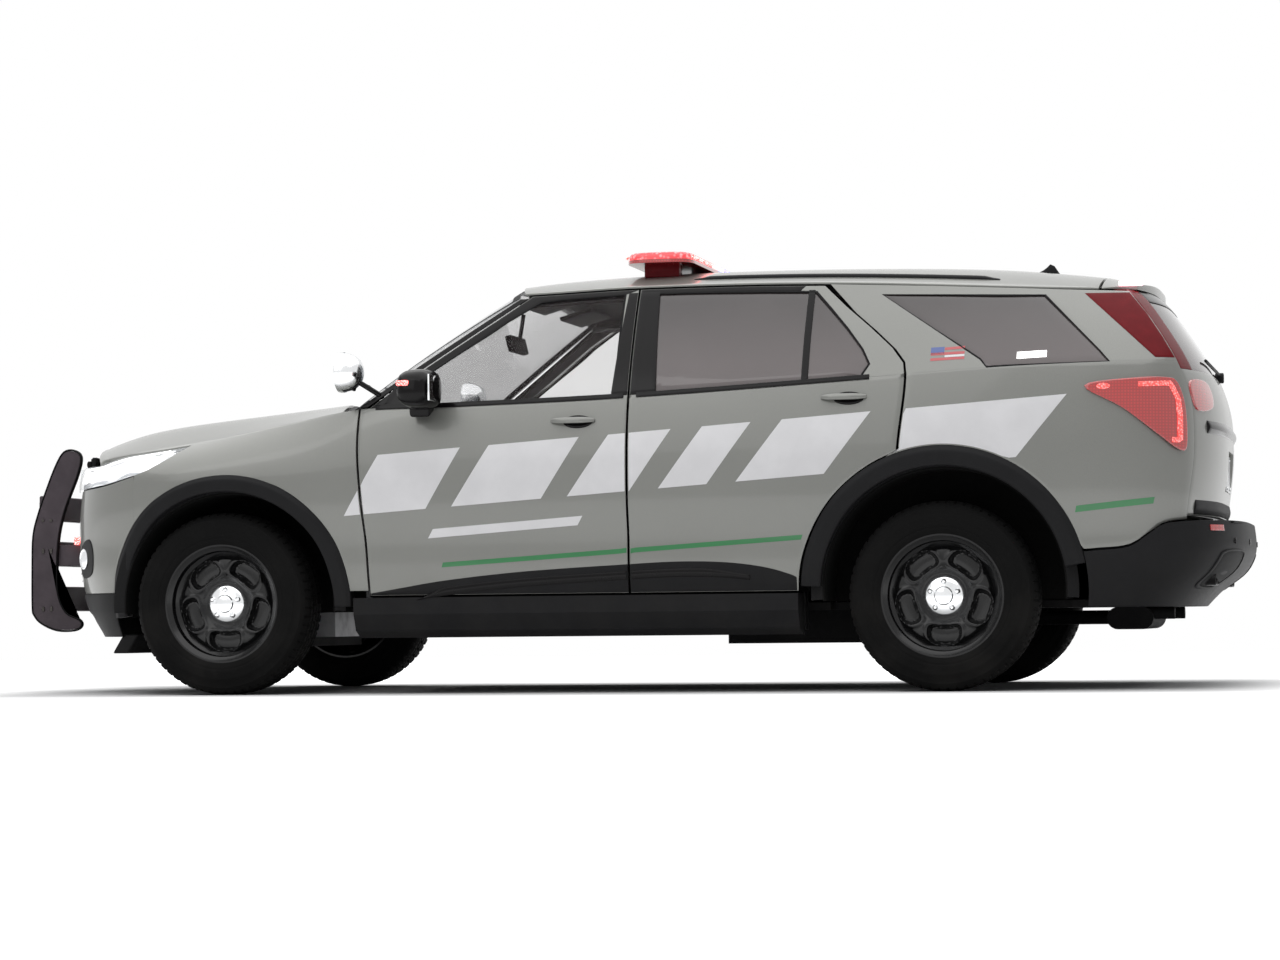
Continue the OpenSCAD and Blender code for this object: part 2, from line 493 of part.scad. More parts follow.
// A lamp's skin stays beside the grille
function lamp_point(x, z) = [x, max(side_w(x, z), grille_half_w + 22 + 0.6 * (x - lamp_cols[0])), z];
module headlamps() color([0.85, 0.87, 0.9]) both_sides() panel(
  [for (t = steps(4)) [for (x = lamp_cols) lamp_point(x, mix(curve(x, lamp_low) + 1.2, lamp_top_z(x), t))]],
  function(p) let (u = ease((p[0] - lamp_cols[0]) / 300)) [lamp_t * (1 - u), -lamp_t * u - 4, 0]);

// Rear bumper set-back columns: height, x in front of the rearmost line
tail_form = [[300, 240], [393, 150], [470, 50], [546, 6], [600, 0], [676, 8]];
function tail_point(a, z) = let (l = bumper_x - tail_c - curve(z, tail_form), w = body_w / 2 - low_inset(z))
  [tail_c + l * abs(cos(a))^(2 / tail_p), w * spow(sin(a), 2 / tail_p), z];
function tail_turn(x, z) = acos(((x - tail_c) / (bumper_x - tail_c - curve(z, tail_form)))^(tail_p / 2));
rear_bumper_low_z = 330;
rear_bumper_rows = [0, 0.14, 0.3, 0.45, 0.6, 0.75, 0.9, 1];
function rear_bumper_end(z) = tail_turn(arch_x(rear_arch, rear_trim_r + fit_gap, z, 1) + fit_gap, z);
function rear_bumper_top(s) = curve(tail_point(s * rear_bumper_end(560), 560)[0] - wheelbase,
  bumper_seam) - half_gap;
module rear_bumper_skin() panel(
  [for (t = reversed(rear_bumper_rows)) [for (s = nose_spread) let (z = mix(rear_bumper_low_z,
    rear_bumper_top(s), t))
    tail_point(s * rear_bumper_end(z), z)]],
  function(p) bumper_inward(p, -1, 650));

// Brackets that carry the rear bumper on the tail wall
bracket_y = 400;
bracket_z = 460;
module rear_bumper() color(trim_black) {
  rear_bumper_skin();
  for (k = [-1, 1]) translate([tail_wall_x, k * bracket_y - 40, bracket_z])
    cube([tail_point(0, bracket_z)[0] - 20 - tail_wall_x, 80, 60]);
}

// Tailgate
gate_low_z = 690;
gate_top_z = 1612;
gate_t = 55;
gate_gap = 12;
function gate_at(z, s) = [gate_mid(z) - gate_drop * abs(s)^3.2, s * (gate_w(z) - gate_gap), z];
gate_rows = [0, 0.1, 0.24, 0.4, 0.56, 0.72, 0.86, 1];
gate_post = 3;
gate_cols = [-1, -0.95, -0.88, -0.6, -0.3, 0, 0.3, 0.6, 0.88, 0.95, 1];
gate_sill_z = 1272;
gate_pane_z = 1570;
gate_grid = [for (t = reversed(gate_rows)) [for (s = gate_cols) gate_at(mix(gate_low_z, gate_sill_z, t),
  s)]];
// The gate's outer edges lean in towards the cabin, so that they clear the side panels as it opens
gate_lean = 18;
function gate_inward(p) = [-gate_t, -gate_lean * sign(p[1]) * ease((abs(p[1]) / (gate_w(p[2]) - gate_gap)
  - 0.89) / 0.11), 0];
function gate_row(z, s0, m) = [for (k = [0:m - 1]) gate_at(z, s0 * mix(1, 0.88, k / (m - 1)))];
module tailgate_shell() {
  up = [for (z = [1350, 1430, 1510]) gate_row(z, -1, gate_post)];
  down = [for (z = [1510, 1430, 1350]) gate_row(z, 1, gate_post)];
  over = [for (s = [-0.88, -0.5, 0, 0.5, 0.88]) [for (k = [0:gate_post - 1])
    gate_at(mix(gate_top_z, gate_pane_z, k / (gate_post - 1)),
      s * (k == 0 && abs(s) > 0.8 ? 1 / 0.88 : 1))]];
  low = gate_grid[0];
  n = len(gate_cols);
  strip = concat([[for (k = [0:gate_post - 1]) low[k]]], up, over, down,
    [[for (k = [0:gate_post - 1]) low[n - 1 - k]]]);
  windowed_panel(reversed(gate_grid), 0, strip, function(p) gate_inward(p));
}
plate_w = 320;
plate_h = 170;
plate_z = 880;
plate_depth = 30;
module plate_holes(depth) for (sy = [-1, 1], sz = [-1, 1])
  translate([gate_mid(plate_z), sy * plate_hole_y / 2, plate_z + sz * plate_hole_z / 2]) rotate([0, 90, 0])
    cylinder(r = plate_hole_r, h = 2 * depth, center = true);
module tailgate() color(paint) difference() {
  tailgate_shell();
  translate([gate_mid(plate_z) - 12, -plate_w / 2, plate_z - plate_h / 2]) cube([60, plate_w, plate_h]);
  plate_holes(plate_depth);
}
module tailgate_glass() color(tint) let (z0 = gate_sill_z, z1 = gate_pane_z, e = 0.88 - 0.0007)
  panel([for (z = [z0 + 0.5, 1350, 1430, 1510, z1 - 0.5]) [for (s = [-1, -0.68, -0.34, 0, 0.34, 0.68,
    1]) gate_at(z, s * e) - [12, 0, 0]]],
    function(p) [-glass_t, 0, 0]);
spoiler_tip = wheelbase + 818;
spoiler_cols = [-1, -0.9, -0.75, -0.5, -0.25, 0, 0.25, 0.5, 0.75, 0.9, 1];
function spoiler_w(t) = mix(roof_edge_w(roof_end) - 8, 560, t);
function spoiler_at(t, s) = let (a = roof_at(roof_end, s), x0 = roof_end + shut_gap)
  [mix(x0, spoiler_tip - 60 * abs(s)^3, t), s * spoiler_w(t), mix(a[2], 1652 - 18 * abs(s)^2.6, t)];
module spoiler() color(paint) panel([for (t = steps(4)) [for (s = spoiler_cols) spoiler_at(t, s)]],
  function(p) [0, 0, gate_top_z + fit_gap - p[2]]);

// Lamps at the tail, on the side panels and the tailgate's edge
// Tail lamp outline: x from the rear axle and height
tail_lamp_shape = [[576, 1204], [760, 1232], [890, 1234], [922, 1222], [962, 1100], [966, 950], [930,
  945], [850, 1010], [721, 1113]];
tail_lamp_out = 12;
module tail_lamp() difference() {
  intersection() {
    panel([for (row = quarter_grid) [for (p = row) p + [tail_lamp_out * 0.7 * ease((p[0] - tail_c) /
      400), tail_lamp_out, 0]]],
      function(p) [-20, -30, 0]);
    translate([wheelbase, 0, 0]) rotate([90, 0, 0]) linear_extrude(height = 2400,
      center = true) polygon(tail_lamp_shape);
  }
  quarter_panel();
}
module tail_lamps() color([0.7, 0.1, 0.1]) both_sides() tail_lamp();

// Black trims round the wheel openings and along the sills
arch_steps = 22;
arch_trim_deep = 62;
// The outer edge keeps clear of the painted panels' straight edge pieces
function arch_grid(c, r0, r1, a0, a1, out) = [for (t = [1, 0.5, 0]) [for (k = steps(arch_steps))
  let (p = arch_at(c, mix(r0, r1, t), mix(a0, a1, k)), q = side(p)) q + [0, out * (t == 0 ? 0.5 : 1), 0]]];
front_arch_a = [186, -2];
rear_arch_a = [178, 10];
module arch_trims() color(trim_black) both_sides() {
  panel(reversed(arch_grid(front_arch, front_arch_r, front_trim_r - 3.2, front_arch_a[0],
    front_arch_a[1], arch_trim_out)),
    function(p) [0, -arch_trim_out - arch_trim_deep, 0]);
  panel(reversed(arch_grid(rear_arch, rear_arch_r, rear_trim_r - 7, rear_arch_a[0], rear_arch_a[1],
    arch_trim_out)),
    function(p) [0, -arch_trim_out - arch_trim_deep, 0]);
}
sill_x0 = front_arch[0] + front_trim_r + 12;
sill_x1 = rear_arch[0] - rear_trim_r - 12;
sill_z0 = 232;
sill_w0 = 818 + fit_gap;
module sill_trims() color(trim_black) both_sides() panel(
  [for (z = [sill_z0, 262, 330, door_z0 - shut_gap]) [for (t = steps(6)) let (x = mix(sill_x0, sill_x1, t))
    [x, side_w(x, door_z0) - 110 * (1 - ease((z - sill_z0 + 14) / 70)) + 4, z]]],
  function(p) [0, -(p[1] - sill_w0), 0]);

// Roof equipment
bar_x = 1795;
bar_z0 = 1788;
bar_h = 46;
bar_foot_y = 470;
module light_bar() color([0.2, 0.2, 0.24]) {
  translate([bar_x, 0, bar_z0]) linear_extrude(height = bar_h) union() {
    square([bar_d, bar_l - bar_d], center = true);
    for (k = [-1, 1]) translate([0, k * (bar_l - bar_d) / 2]) circle(d = bar_d);
  }
  difference() {
    for (k = [-1, 1]) translate([bar_x - bar_d / 4, k * bar_foot_y - 30, 1720]) cube([bar_d / 2, 60,
      bar_z0 - 1720]);
    roof();
    translate([bar_x - bar_d, -bar_l, 1600]) cube([2 * bar_d, 2 * bar_l, 130]);
  }
}
fin_x = [wheelbase + 215, wheelbase + 400];
module roof_fin() color(trim_black) difference() {
  translate([0, 12, 0]) rotate([90, 0, 0]) linear_extrude(height = 24)
    polygon([[fin_x[0], 1740], [fin_x[1], 1720], [fin_x[1] - 20, 1806], [fin_x[1] - 70, 1808]]);
  roof();
  translate([fin_x[0] - 50, -100, 1600]) cube([400, 200, 118]);
}
spot_at = [566, 962, 1334];
spot_deep = 110;
module spot_lamp() translate(spot_at) rotate([0, -90, 0]) rotate_extrude()
  polygon([[0, -spot_deep * 0.55], [spot_d * 0.22, -spot_deep * 0.5], [spot_d * 0.4, -spot_deep * 0.28],
    [spot_d * 0.47, 0],
    [spot_d / 2, spot_deep * 0.2], [spot_d / 2, spot_deep * 0.42], [0, spot_deep * 0.45]]);
spot_arm_r = 11;
spot_foot = [690, 909.5, 1234];
module spot_arm() let (a = spot_at + [20, -10, -30], d = spot_foot - a)
  translate(a) rotate([0, acos(d[2] / norm(d)), atan2(d[1], d[0])]) cylinder(r = spot_arm_r, h = norm(d));
module spot_lamps() color(trim_black) both_sides() {
  spot_lamp();
  difference() {
    spot_arm();
    pillar_strip();
  }
}

// Push bumper: two upright plates, cross channels and the arms that carry it
push_t = 20;
push_top = 1062;
push_low = 278;
push_shape = [[0, 380], [0, 690], [18, 760], [150, push_top], [228, push_top - 30], [210, 1000], [120,
  720], [105, 560], [120, 420],
  [216, 330], [216, 292], [170, push_low]];
push_cross_z = [360, 560, 760];
module push_bumper() color(trim_black) {
  for (k = [-1, 1]) translate([front_end, k * push_span / 2 + push_t / 2, 0]) rotate([90, 0, 0])
    linear_extrude(height = push_t) polygon(push_shape);
  for (z = push_cross_z) translate([front_end + 22, -push_span / 2, z]) cube([40, push_span, 110]);
  push_arms(0);
}
module push_arms(grow) for (k = [-1, 1])
  translate([front_end + 60 - grow, k * (push_span / 2 - 18) - 12 - grow, 560 - grow])
    cube([support_x - front_end - 60 + grow, 24 + 2 * grow, 90 + 2 * grow]);

// Structure
floor_z = 330;
floor_t = 30;
floor_w = 1500;
firewall_x = 612;
support_x = -640;
tail_wall_x = wheelbase + 870;
deck_x = wheelbase - 280;
post_y = floor_w / 2 + fit_gap;
sill_box_y = 818;
cabin_y = 832;
post_t = 80;
liner_t = 6;
front_liner_r = front_arch_r - 1.8;
rear_liner_r = rear_arch_r - 1.8;
front_liner_y = 504 + fit_gap;
rear_liner_y = 660;
liner_y1 = 945;
jack_x = [800, 2300];
jack_y = floor_w / 2 - 35;
module floor_pan() color([0.3, 0.31, 0.33]) difference() {
  union() {
    translate([firewall_x, -floor_w / 2, floor_z]) cube([tail_wall_x - firewall_x, floor_w, floor_t]);
    translate([firewall_x, -floor_w / 2, floor_z]) cube([20, floor_w, 770]);
    translate([firewall_x, -110, floor_z]) cube([1280, 220, 150]);
    translate([tail_wall_x - 20, -floor_w / 2, floor_z]) cube([20, floor_w, 345]);
    translate([deck_x, -floor_w / 2, floor_z]) cube([20, floor_w, 250]);
    for (x = jack_x, k = [-1, 1]) translate([x - 45, k * jack_y - 30, jack_z]) cube([90, 60,
      floor_z - jack_z + 1]);
    translate([deck_x, -floor_w / 2, floor_z + 230]) cube([tail_wall_x - deck_x, floor_w, 20]);
  }
  for (k = [-1, 1]) translate([rear_arch[0], k * (rear_liner_y - fit_gap + 250),
    rear_arch[1]]) rotate([90, 0, 0])
    cylinder(r = rear_liner_r + fit_gap, h = 500, center = true);
  for (k = [-1, 1])
    translate([rear_arch[0] - rear_liner_r - fit_gap, k * (rear_liner_y - fit_gap + 250) - 250, 0])
      cube([2 * (rear_liner_r + fit_gap), 500, rear_arch[1]]);
}
module posts() {
  translate([front_shut_x(1000) + 4, post_y, 400]) cube([post_t, cabin_y - post_y, 745]);
  translate([door_split_x - post_t / 2, post_y, 400]) cube([post_t, cabin_y - post_y, 770]);
  translate([firewall_x + 4, post_y, 250]) cube([sill_x1 - firewall_x, sill_box_y - post_y, 151]);
}
// Path of the inner roof rail columns: x
rail_path = [1275, 1500, 1750, 2100, 2500, 2900, 3300, wheelbase + 560];
module rail_beam() for (i = [0:len(rail_path) - 2]) let (a = rail_path[i], b = rail_path[i + 1])
  beam([a, rail_w(a) - 100, rail_z(a) - 2], [b, rail_w(b) - 100, rail_z(b) - 2], 40, 50, 44);
// The front pillar is deeper at its foot, and its rear face leans away from the door
function pillar_inward(p) = let (t = (p[2] - pillar_z0) / (pillar_z1 - pillar_z0))
  [-18 * (p[0] - screen_x(t)) / pillar_w, -mix(84, 44, ease(t * 5)), 0];
module pillar_strip() panel([for (t = screen_rows) [for (k = [0, 0.5, 1])
  side([screen_x(t) + pillar_w * k, pillar_z(t)])]], function(p) pillar_inward(p));
// Blocks that carry the fixed side panels: the panel's inner face moved in by the fitting gap
module fender_post() panel([for (j = [5:7]) [for (i = [13:15]) let (p = fender_grid[j][i])
  p + fender_inward(p) - [0, fit_gap, 0]]], function(p) [0, 770 - p[1], 0]);
module quarter_post() panel([for (j = [3:6]) [for (i = [0:2]) let (p = quarter_grid[j][i])
  p + quarter_inward(p) - [0, fit_gap, 0]]], function(p) [0, 800 - p[1], 0]);
module cabin_frame_solid() {
  posts();
  beam([door_split_x, cabin_y - 40, 1160], [door_split_x, rail_w(door_split_x) - 100,
    rail_z(door_split_x)], 70, 44, 30);
  rail_beam();
  pillar_strip();
  beam([640, 800, 1140], [633, 836, 1190], 40, 60, 30);
  fender_post();
  beam([540, 800, 920], [640, 800, 920], 30, 60, 120);
  quarter_post();
  beam([2905, 822, 1120], [2600, rail_w(2600) - 100, rail_z(2600) - 2], 60, 44, 44);
  beam([1238, rail_w(1238) - 60, 1622], [1290, rail_w(1290) - 100, 1638], 34, 34, 30);
}
module cabin_frame() color(trim_black) both_sides() cabin_frame_solid();
rail_z0 = 560;
module front_frame() color([0.2, 0.2, 0.21]) {
  for (k = [-1, 1]) translate([-590, k * 472 - 32, rail_z0]) cube([firewall_x + 590, 64, 100]);
  translate([support_x, -505, rail_z0 - 20]) cube([50, 1010, 140]);
  translate([support_x, -400, 330]) cube([50, 800, 560]);
}
module wheel_liner(c, r, y0, open_w, open_h) difference() {
  translate([c[0], 0, c[1]]) rotate([-90, 0, 0]) union() {
    translate([0, 0, y0]) difference() {
      cylinder(r = r, h = liner_y1 - y0);
      translate([0, 0, liner_t]) cylinder(r = r - liner_t, h = liner_y1);
    }
  }
  translate([c[0] - r - 1, 0, -200]) cube([2 * r + 2, 1200, 200 + c[1] - 40]);
  translate([-open_w / 2 + c[0] - (c[0] > 1000 ? 5 : front_arch_shift), 0, 0]) cube([open_w,
    y0 + liner_t + 1, open_h]);
}
module wheel_liners() color([0.1, 0.1, 0.1]) both_sides() {
  wheel_liner(front_arch, front_liner_r, front_liner_y, 260, 700);
  wheel_liner(rear_arch, rear_liner_r, rear_liner_y, 260, 560);
}
subframe_z = 196;
subframe_t = 40;
module engine() color([0.35, 0.36, 0.38]) translate([-330, -320, subframe_z + subframe_t + fit_gap])
  cube([620, 640, 660]);
module fuel_tank() color([0.15, 0.15, 0.16]) translate([2060, -480, floor_z - 136]) cube([560, 660, 136]);
// Exhaust: a flat muffler close under the floor, with two short tail pipes behind it
muffler_r = 46;
muffler_half = 49;
tail_pipe_r = 25;
module exhaust() color([0.5, 0.5, 0.52]) {
  hull() for (k = [-1, 1]) translate([wheelbase + 690 + k * muffler_half, 0, floor_z - muffler_r])
    rotate([90, 0, 0]) cylinder(r = muffler_r, h = 700, center = true);
  for (k = [-1, 1]) translate([wheelbase + 690, k * 300, floor_z - tail_pipe_r - 1]) rotate([0, 90, 0])
    cylinder(r = tail_pipe_r, h = 180);
  translate([700, 260, floor_z - 42]) rotate([0, 90, 0]) cylinder(r = 30, h = wheelbase - 10);
}

// Suspension: arms with eyes, which hold the knuckles at pins on the steering axis
arm_h = 24;
pin_r = 12;
pin_l = 34;
knuckle_h = 300;
function arm_z(k) = tyre_r + k * (knuckle_h / 2 + pin_l / 2) - arm_h / 2;
module arm(z) difference() {
  union() {
    translate([-29, 400, z]) cube([58, king_y - 400, arm_h]);
    translate([0, king_y, z]) cylinder(r = 29, h = arm_h);
  }
  translate([0, king_y, z - 1]) cylinder(r = pin_r + spindle_gap, h = arm_h + 2);
}
strut_r = 44;
module front_suspension() color([0.25, 0.25, 0.26]) {
  translate([-170, -440, subframe_z]) cube([340, 880, subframe_t]);
  both_sides() {
    arm(arm_z(-1));
    arm(arm_z(1));
    translate([-60, 400, subframe_z]) cube([120, 40, arm_z(1) + arm_h - subframe_z]);
    translate([0, 590, arm_z(-1) + arm_h - 1]) cylinder(r = strut_r, h = arm_z(1) - arm_z(-1) - arm_h + 2);
  }
}
module knuckle() {
  translate([-45, king_y - 22, tyre_r - knuckle_h / 2]) cube([90, 44, knuckle_h]);
  translate([0, king_y, tyre_r - knuckle_h / 2 - pin_l]) cylinder(r = pin_r, h = knuckle_h + 2 * pin_l);
  translate([0, king_y, tyre_r]) rotate([-90, 0, 0]) cylinder(r = spindle_r, h = king_offset + 34);
}
module knuckle_left() color([0.3, 0.3, 0.31]) mirror([0, 1, 0]) knuckle();
module knuckle_right() color([0.3, 0.3, 0.31]) knuckle();
module rear_suspension() color([0.25, 0.25, 0.26]) {
  translate([wheelbase - 160, -420, 200]) cube([320, 840, 50]);
  both_sides() {
    translate([wheelbase - 40, 400, 210]) cube([80, king_y - 380, 40]);
    translate([wheelbase - 45, king_y - 22, 210]) cube([90, 44, tyre_r - 210 + 100]);
    translate([wheelbase, king_y, tyre_r]) rotate([-90, 0, 0]) cylinder(r = spindle_r,
      h = king_offset + 34);
    translate([wheelbase, 560, 240]) cylinder(r = strut_r, h = floor_z - 240);
  }
}

// Wheels: a rim with a slotted disc, hub and cap, and a tyre, drawn round the z axis
rim_half = 112;
rim_wall = 9;
disc_holes = 5;
hub_r = 62;
cap_r = 82;
// Barrel profile columns: radius below the flange, distance from the rim's middle
barrel = [[0, rim_half], [0, rim_half - 9], [17, rim_half - 14], [20, 66], [42, 44], [42, -48], [20,
  -72], [17, 14 - rim_half], [0, 9 - rim_half],
  [0, -rim_half]];
module rim_solid() {
  rotate_extrude() polygon(concat([for (p = barrel) [rim_r - p[0], p[1]]],
    [[rim_r - 8, -rim_half], [rim_r - 29, 74 - 2 * rim_half + 66], [rim_r - 29, -76],
      [rim_r - 42 - rim_wall, -52], [rim_r - 42 - rim_wall, 48],
     [rim_r - 29, 70], [rim_r - 26, rim_half - 8]]));
  difference() {
    rotate_extrude() polygon([[0, 20], [90, 20], [120, 40], [160, 52], [rim_r - 46, 34], [rim_r - 46,
      46], [164, 66], [116, 54], [88, 34], [0, 34]]);
    for (k = [0:disc_holes - 1]) rotate(k * 360 / disc_holes + 90) {
      translate([152, -26, 0]) cylinder(r = 24, h = 100);
      translate([152, 26, 0]) cylinder(r = 24, h = 100);
      translate([128, -26, 0]) cube([48, 52, 100]);
    }
  }
  rotate_extrude() polygon([[0, -20], [146, -20], [146, 4], [hub_r, 4], [hub_r, 24], [0, 24]]);
  rotate_extrude() polygon([[0, 30], [cap_r, 30], [cap_r, 40], [cap_r - 20, 58], [30, 72], [0, 74]]);
}
module wheel(x, k) translate([x, k * track / 2, tyre_r]) rotate([-90 * k, 0, 0]) color([0.06, 0.06,
  0.07]) difference() {
  rim_solid();
  translate([0, 0, -60]) cylinder(r = spindle_r + spindle_gap, h = 60 + 36);
}
module tyre(x, k) translate([x, k * track / 2, tyre_r]) rotate([-90 * k, 0, 0]) color([0.05, 0.05, 0.05])
  rotate_extrude() let (h = tyre_w / 2) polygon([[rim_r - 16, 97.4], [rim_r + 0.5, 102.4], [rim_r + 0.5,
    h - 14], [rim_r + 40, h], [rim_r + 80, h - 6], [tyre_r - 14, h - 22],
    [tyre_r - 3, h - 44], [tyre_r, h - 70], [tyre_r, 70 - h], [tyre_r - 3, 44 - h], [tyre_r - 14,
      22 - h], [rim_r + 80, 6 - h],
    [rim_r + 40, -h], [rim_r + 0.5, 14 - h], [rim_r + 0.5, -102.4], [rim_r - 16, -97.4]]);
module wheel_fl() wheel(0, -1);
module wheel_fr() wheel(0, 1);
module wheel_rl() wheel(wheelbase, -1);
module wheel_rr() wheel(wheelbase, 1);
module tyre_fl() tyre(0, -1);
module tyre_fr() tyre(0, 1);
module tyre_rl() tyre(wheelbase, -1);
module tyre_rr() tyre(wheelbase, 1);

// Doors, glass and mirrors
module door_fr() color(paint) front_door_shell();
module door_fl() color(paint) mirror([0, 1, 0]) front_door_shell();
module door_rr() color(paint) rear_door_shell();
module door_rl() color(paint) mirror([0, 1, 0]) rear_door_shell();
module front_glass() color(tint) door_glass(window_loop(front_grid, 1, front_strip));
module rear_glass() color(tint) door_glass(window_loop(rear_grid, 0, rear_strip));
module glass_fr() front_glass();
module glass_fl() mirror([0, 1, 0]) front_glass();
module glass_rr() rear_glass();
module glass_rl() mirror([0, 1, 0]) rear_glass();
mirror_at = [900, 1085, 1250];
mirror_size = [150, 210, 160];
module side_mirror() color(paint) difference() {
  union() {
    hull() for (sx = [-1, 1], sy = [-1, 1], sz = [-1, 1])
      translate(mirror_at + [sx * (mirror_size[0] / 2 - 45), sy * (mirror_size[1] / 2 - 45),
        sz * (mirror_size[2] / 2 - 45)]) sphere(r = 45, $fn = 20);
    hull() {
      translate(mirror_at + [10, -80, -50]) sphere(r = 24, $fn = 20);
      translate([860, 930, 1150]) sphere(r = 26, $fn = 20);
    }
  }
  front_door_shell();
  door_glass(window_loop(front_grid, 1, front_strip));
  translate([0, 0, 0]) cube([1500, side_w(860, 1180) - 6, 1500]);
}
module mirror_right() side_mirror();
module mirror_left() mirror([0, 1, 0]) side_mirror();

// Cabin
dash_x = [firewall_x + 20 + fit_gap, firewall_x + 300];
module dashboard() color([0.12, 0.12, 0.13]) rotate([90, 0, 0]) linear_extrude(height = 1380, center = true)
  polygon([[dash_x[0], 760], [dash_x[0] + 160, 700], [dash_x[1], 820], [dash_x[1], 1010],
    [dash_x[1] - 80, 1090], [dash_x[0] + 40, 1130], [dash_x[0], 1120]]);
wheel_at = [1060, -370, 1010];
module steering_wheel() color([0.08, 0.08, 0.08]) difference() {
  translate(wheel_at) rotate([0, 66, 0]) {
    rotate_extrude() translate([178, 0]) circle(r = 16);
    cylinder(r = 60, h = 30, center = true);
    translate([-178, -14, -10]) cube([356, 28, 16]);
    translate([0, 0, -260]) cylinder(r = 26, h = 260);
  }
  dashboard();
}
seat_y = 370;
module seat(x, w) {
  translate([x, -w / 2, floor_z + floor_t]) cube([480, w, 110]);
  translate([x - 20, -w / 2, floor_z + floor_t + 110]) cube([520, w, 170]);
  translate([x + 500, -w / 2, floor_z + floor_t + 150]) rotate([0, 14, 0]) cube([120, w, 640]);
}
module head_rest(x) {
  translate([x + 700, -130, 1148]) cube([90, 260, 180]);
  for (k = [-1, 1]) translate([x + 722, k * 60, 1060]) cylinder(r = 7, h = 100);
}
module front_seats() color([0.13, 0.13, 0.14]) for (k = [-1, 1]) translate([0, k * seat_y, 0]) {
  seat(1230, 500);
  head_rest(1230);
}
module rear_seat() color([0.13, 0.13, 0.14]) {
  seat(1960, 1240);
  for (k = [-1, 1]) translate([0, k * seat_y, 0]) head_rest(1960);
}

placed() floor_pan();
placed() cabin_frame();
placed() front_frame();
placed() wheel_liners();
placed() quarter_panels();
placed() roof();
placed() cowl();
placed() fenders();
placed() front_bumper();
placed() grille();
placed() headlamps();
placed() tail_lamps();
placed() rear_bumper();
placed() arch_trims();
placed() sill_trims();
placed() windscreen();
placed() quarter_glass();
placed() light_bar();
placed() spot_lamps();
placed() roof_fin();
placed() push_bumper();
placed() engine();
placed() front_suspension();
placed() rear_suspension();
placed() exhaust();
placed() fuel_tank();
placed() dashboard();
placed() steering_wheel();
placed() front_seats();
placed() rear_seat();
placed() hood();
placed() tailgate();
placed() tailgate_glass();
placed() spoiler();
placed() door_fl();
placed() door_fr();
placed() door_rl();
placed() door_rr();
placed() glass_fl();
placed() glass_fr();
placed() glass_rl();
placed() glass_rr();
placed() mirror_left();
placed() mirror_right();
placed() knuckle_left();
placed() knuckle_right();
placed() wheel_fl();
placed() wheel_fr();
placed() wheel_rl();
placed() wheel_rr();
placed() tyre_fl();
placed() tyre_fr();
placed() tyre_rl();
placed() tyre_rr();
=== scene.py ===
import math

import bpy
from mathutils import Matrix, Vector


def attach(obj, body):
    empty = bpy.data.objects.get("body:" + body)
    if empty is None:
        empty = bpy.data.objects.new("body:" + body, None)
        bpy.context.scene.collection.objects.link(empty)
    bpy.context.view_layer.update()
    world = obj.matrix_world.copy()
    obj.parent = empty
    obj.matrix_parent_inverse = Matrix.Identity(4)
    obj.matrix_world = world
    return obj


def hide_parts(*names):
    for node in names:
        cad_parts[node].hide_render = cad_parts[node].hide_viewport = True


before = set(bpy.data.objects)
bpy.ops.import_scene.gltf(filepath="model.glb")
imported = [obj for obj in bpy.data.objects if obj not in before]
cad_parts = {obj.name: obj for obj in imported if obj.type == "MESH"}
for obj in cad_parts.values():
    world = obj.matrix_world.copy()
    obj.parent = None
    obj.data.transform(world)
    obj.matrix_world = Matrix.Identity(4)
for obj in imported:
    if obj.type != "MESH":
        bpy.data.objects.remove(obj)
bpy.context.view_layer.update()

bl_info = {
    "name": "Police Utility Vehicle",
    "version": (1, 0, 0),
    "blender": (4, 5, 0),
    "location": "View3D > Sidebar > Vehicle",
    "description": "Builds the visible panels, wheels, lamps and cabin of a police utility vehicle",
    "category": "Object",
}

# Body form, in millimetres from the front axle: x rearward, y to the right, z up
X_MID = 1556.5
BASE = 3025
HALF_W = 1002
WAIST = 880
DOOR_Z0 = 408
SPLIT_X = 1750
HALF_GAP = 5
NOSE_X = -870
NOSE_C = -100
TAIL_C = BASE + 475
GATE_X = BASE + 1095
BUMPER_X = BASE + 1180
TYRE_R = 381
TRACK_Y = 851
FRONT_ARCH = (28, 381)
REAR_ARCH = (BASE + 5, 405)
ARCH_R = (465, 492)
TRIM_R = (537, 575)
BELT = [(-600, 1005, 118), (-160, 1052, 126), (250, 1125, 118), (600, 1180, 70), (950, 1186, 52),
    (1750, 1208, 50), (2720, 1258, 50), (3250, 1288, 54), (3720, 1300, 60), (4060, 1302, 62)]
RAIL = [(600, 1640, 690), (1250, 1640, 708), (1750, 1654, 722), (2500, 1648, 720), (3430, 1604, 690),
    (3760, 1590, 668), (4060, 1570, 640)]
ROOF = [(1120, 1724), (1320, 1750), (1600, 1766), (1950, 1776), (2550, 1774), (3150, 1754), (3500, 1720),
    (3780, 1680)]
HOOD = [(-800, 1068), (-700, 1108), (-450, 1160), (-190, 1192), (250, 1226), (420, 1238)]
FRONT_SHUT = [(400, 648), (567, 641), (997, 606), (1220, 600)]
REAR_SHUT = [(900, -168), (967, -168), (1266, -138), (1355, -169), (1640, -485)]
GATE = [(690, 1060), (743, 1067), (900, 1088), (1015, 1092), (1150, 1082), (1300, 1032), (1450, 945),
    (1600, 832), (1690, 700)]
SEAM = [(520, 552), (620, 558), (745, 572), (830, 625), (890, 660), (1100, 676)]
LAMP_LOW = [(-830, 872), (-579, 884), (-460, 905), (-320, 948), (-165, 1044)]
NOSE_FORM = [(240, 118), (330, 62), (430, 24), (560, 2), (700, 0), (880, 18), (1060, 46)]
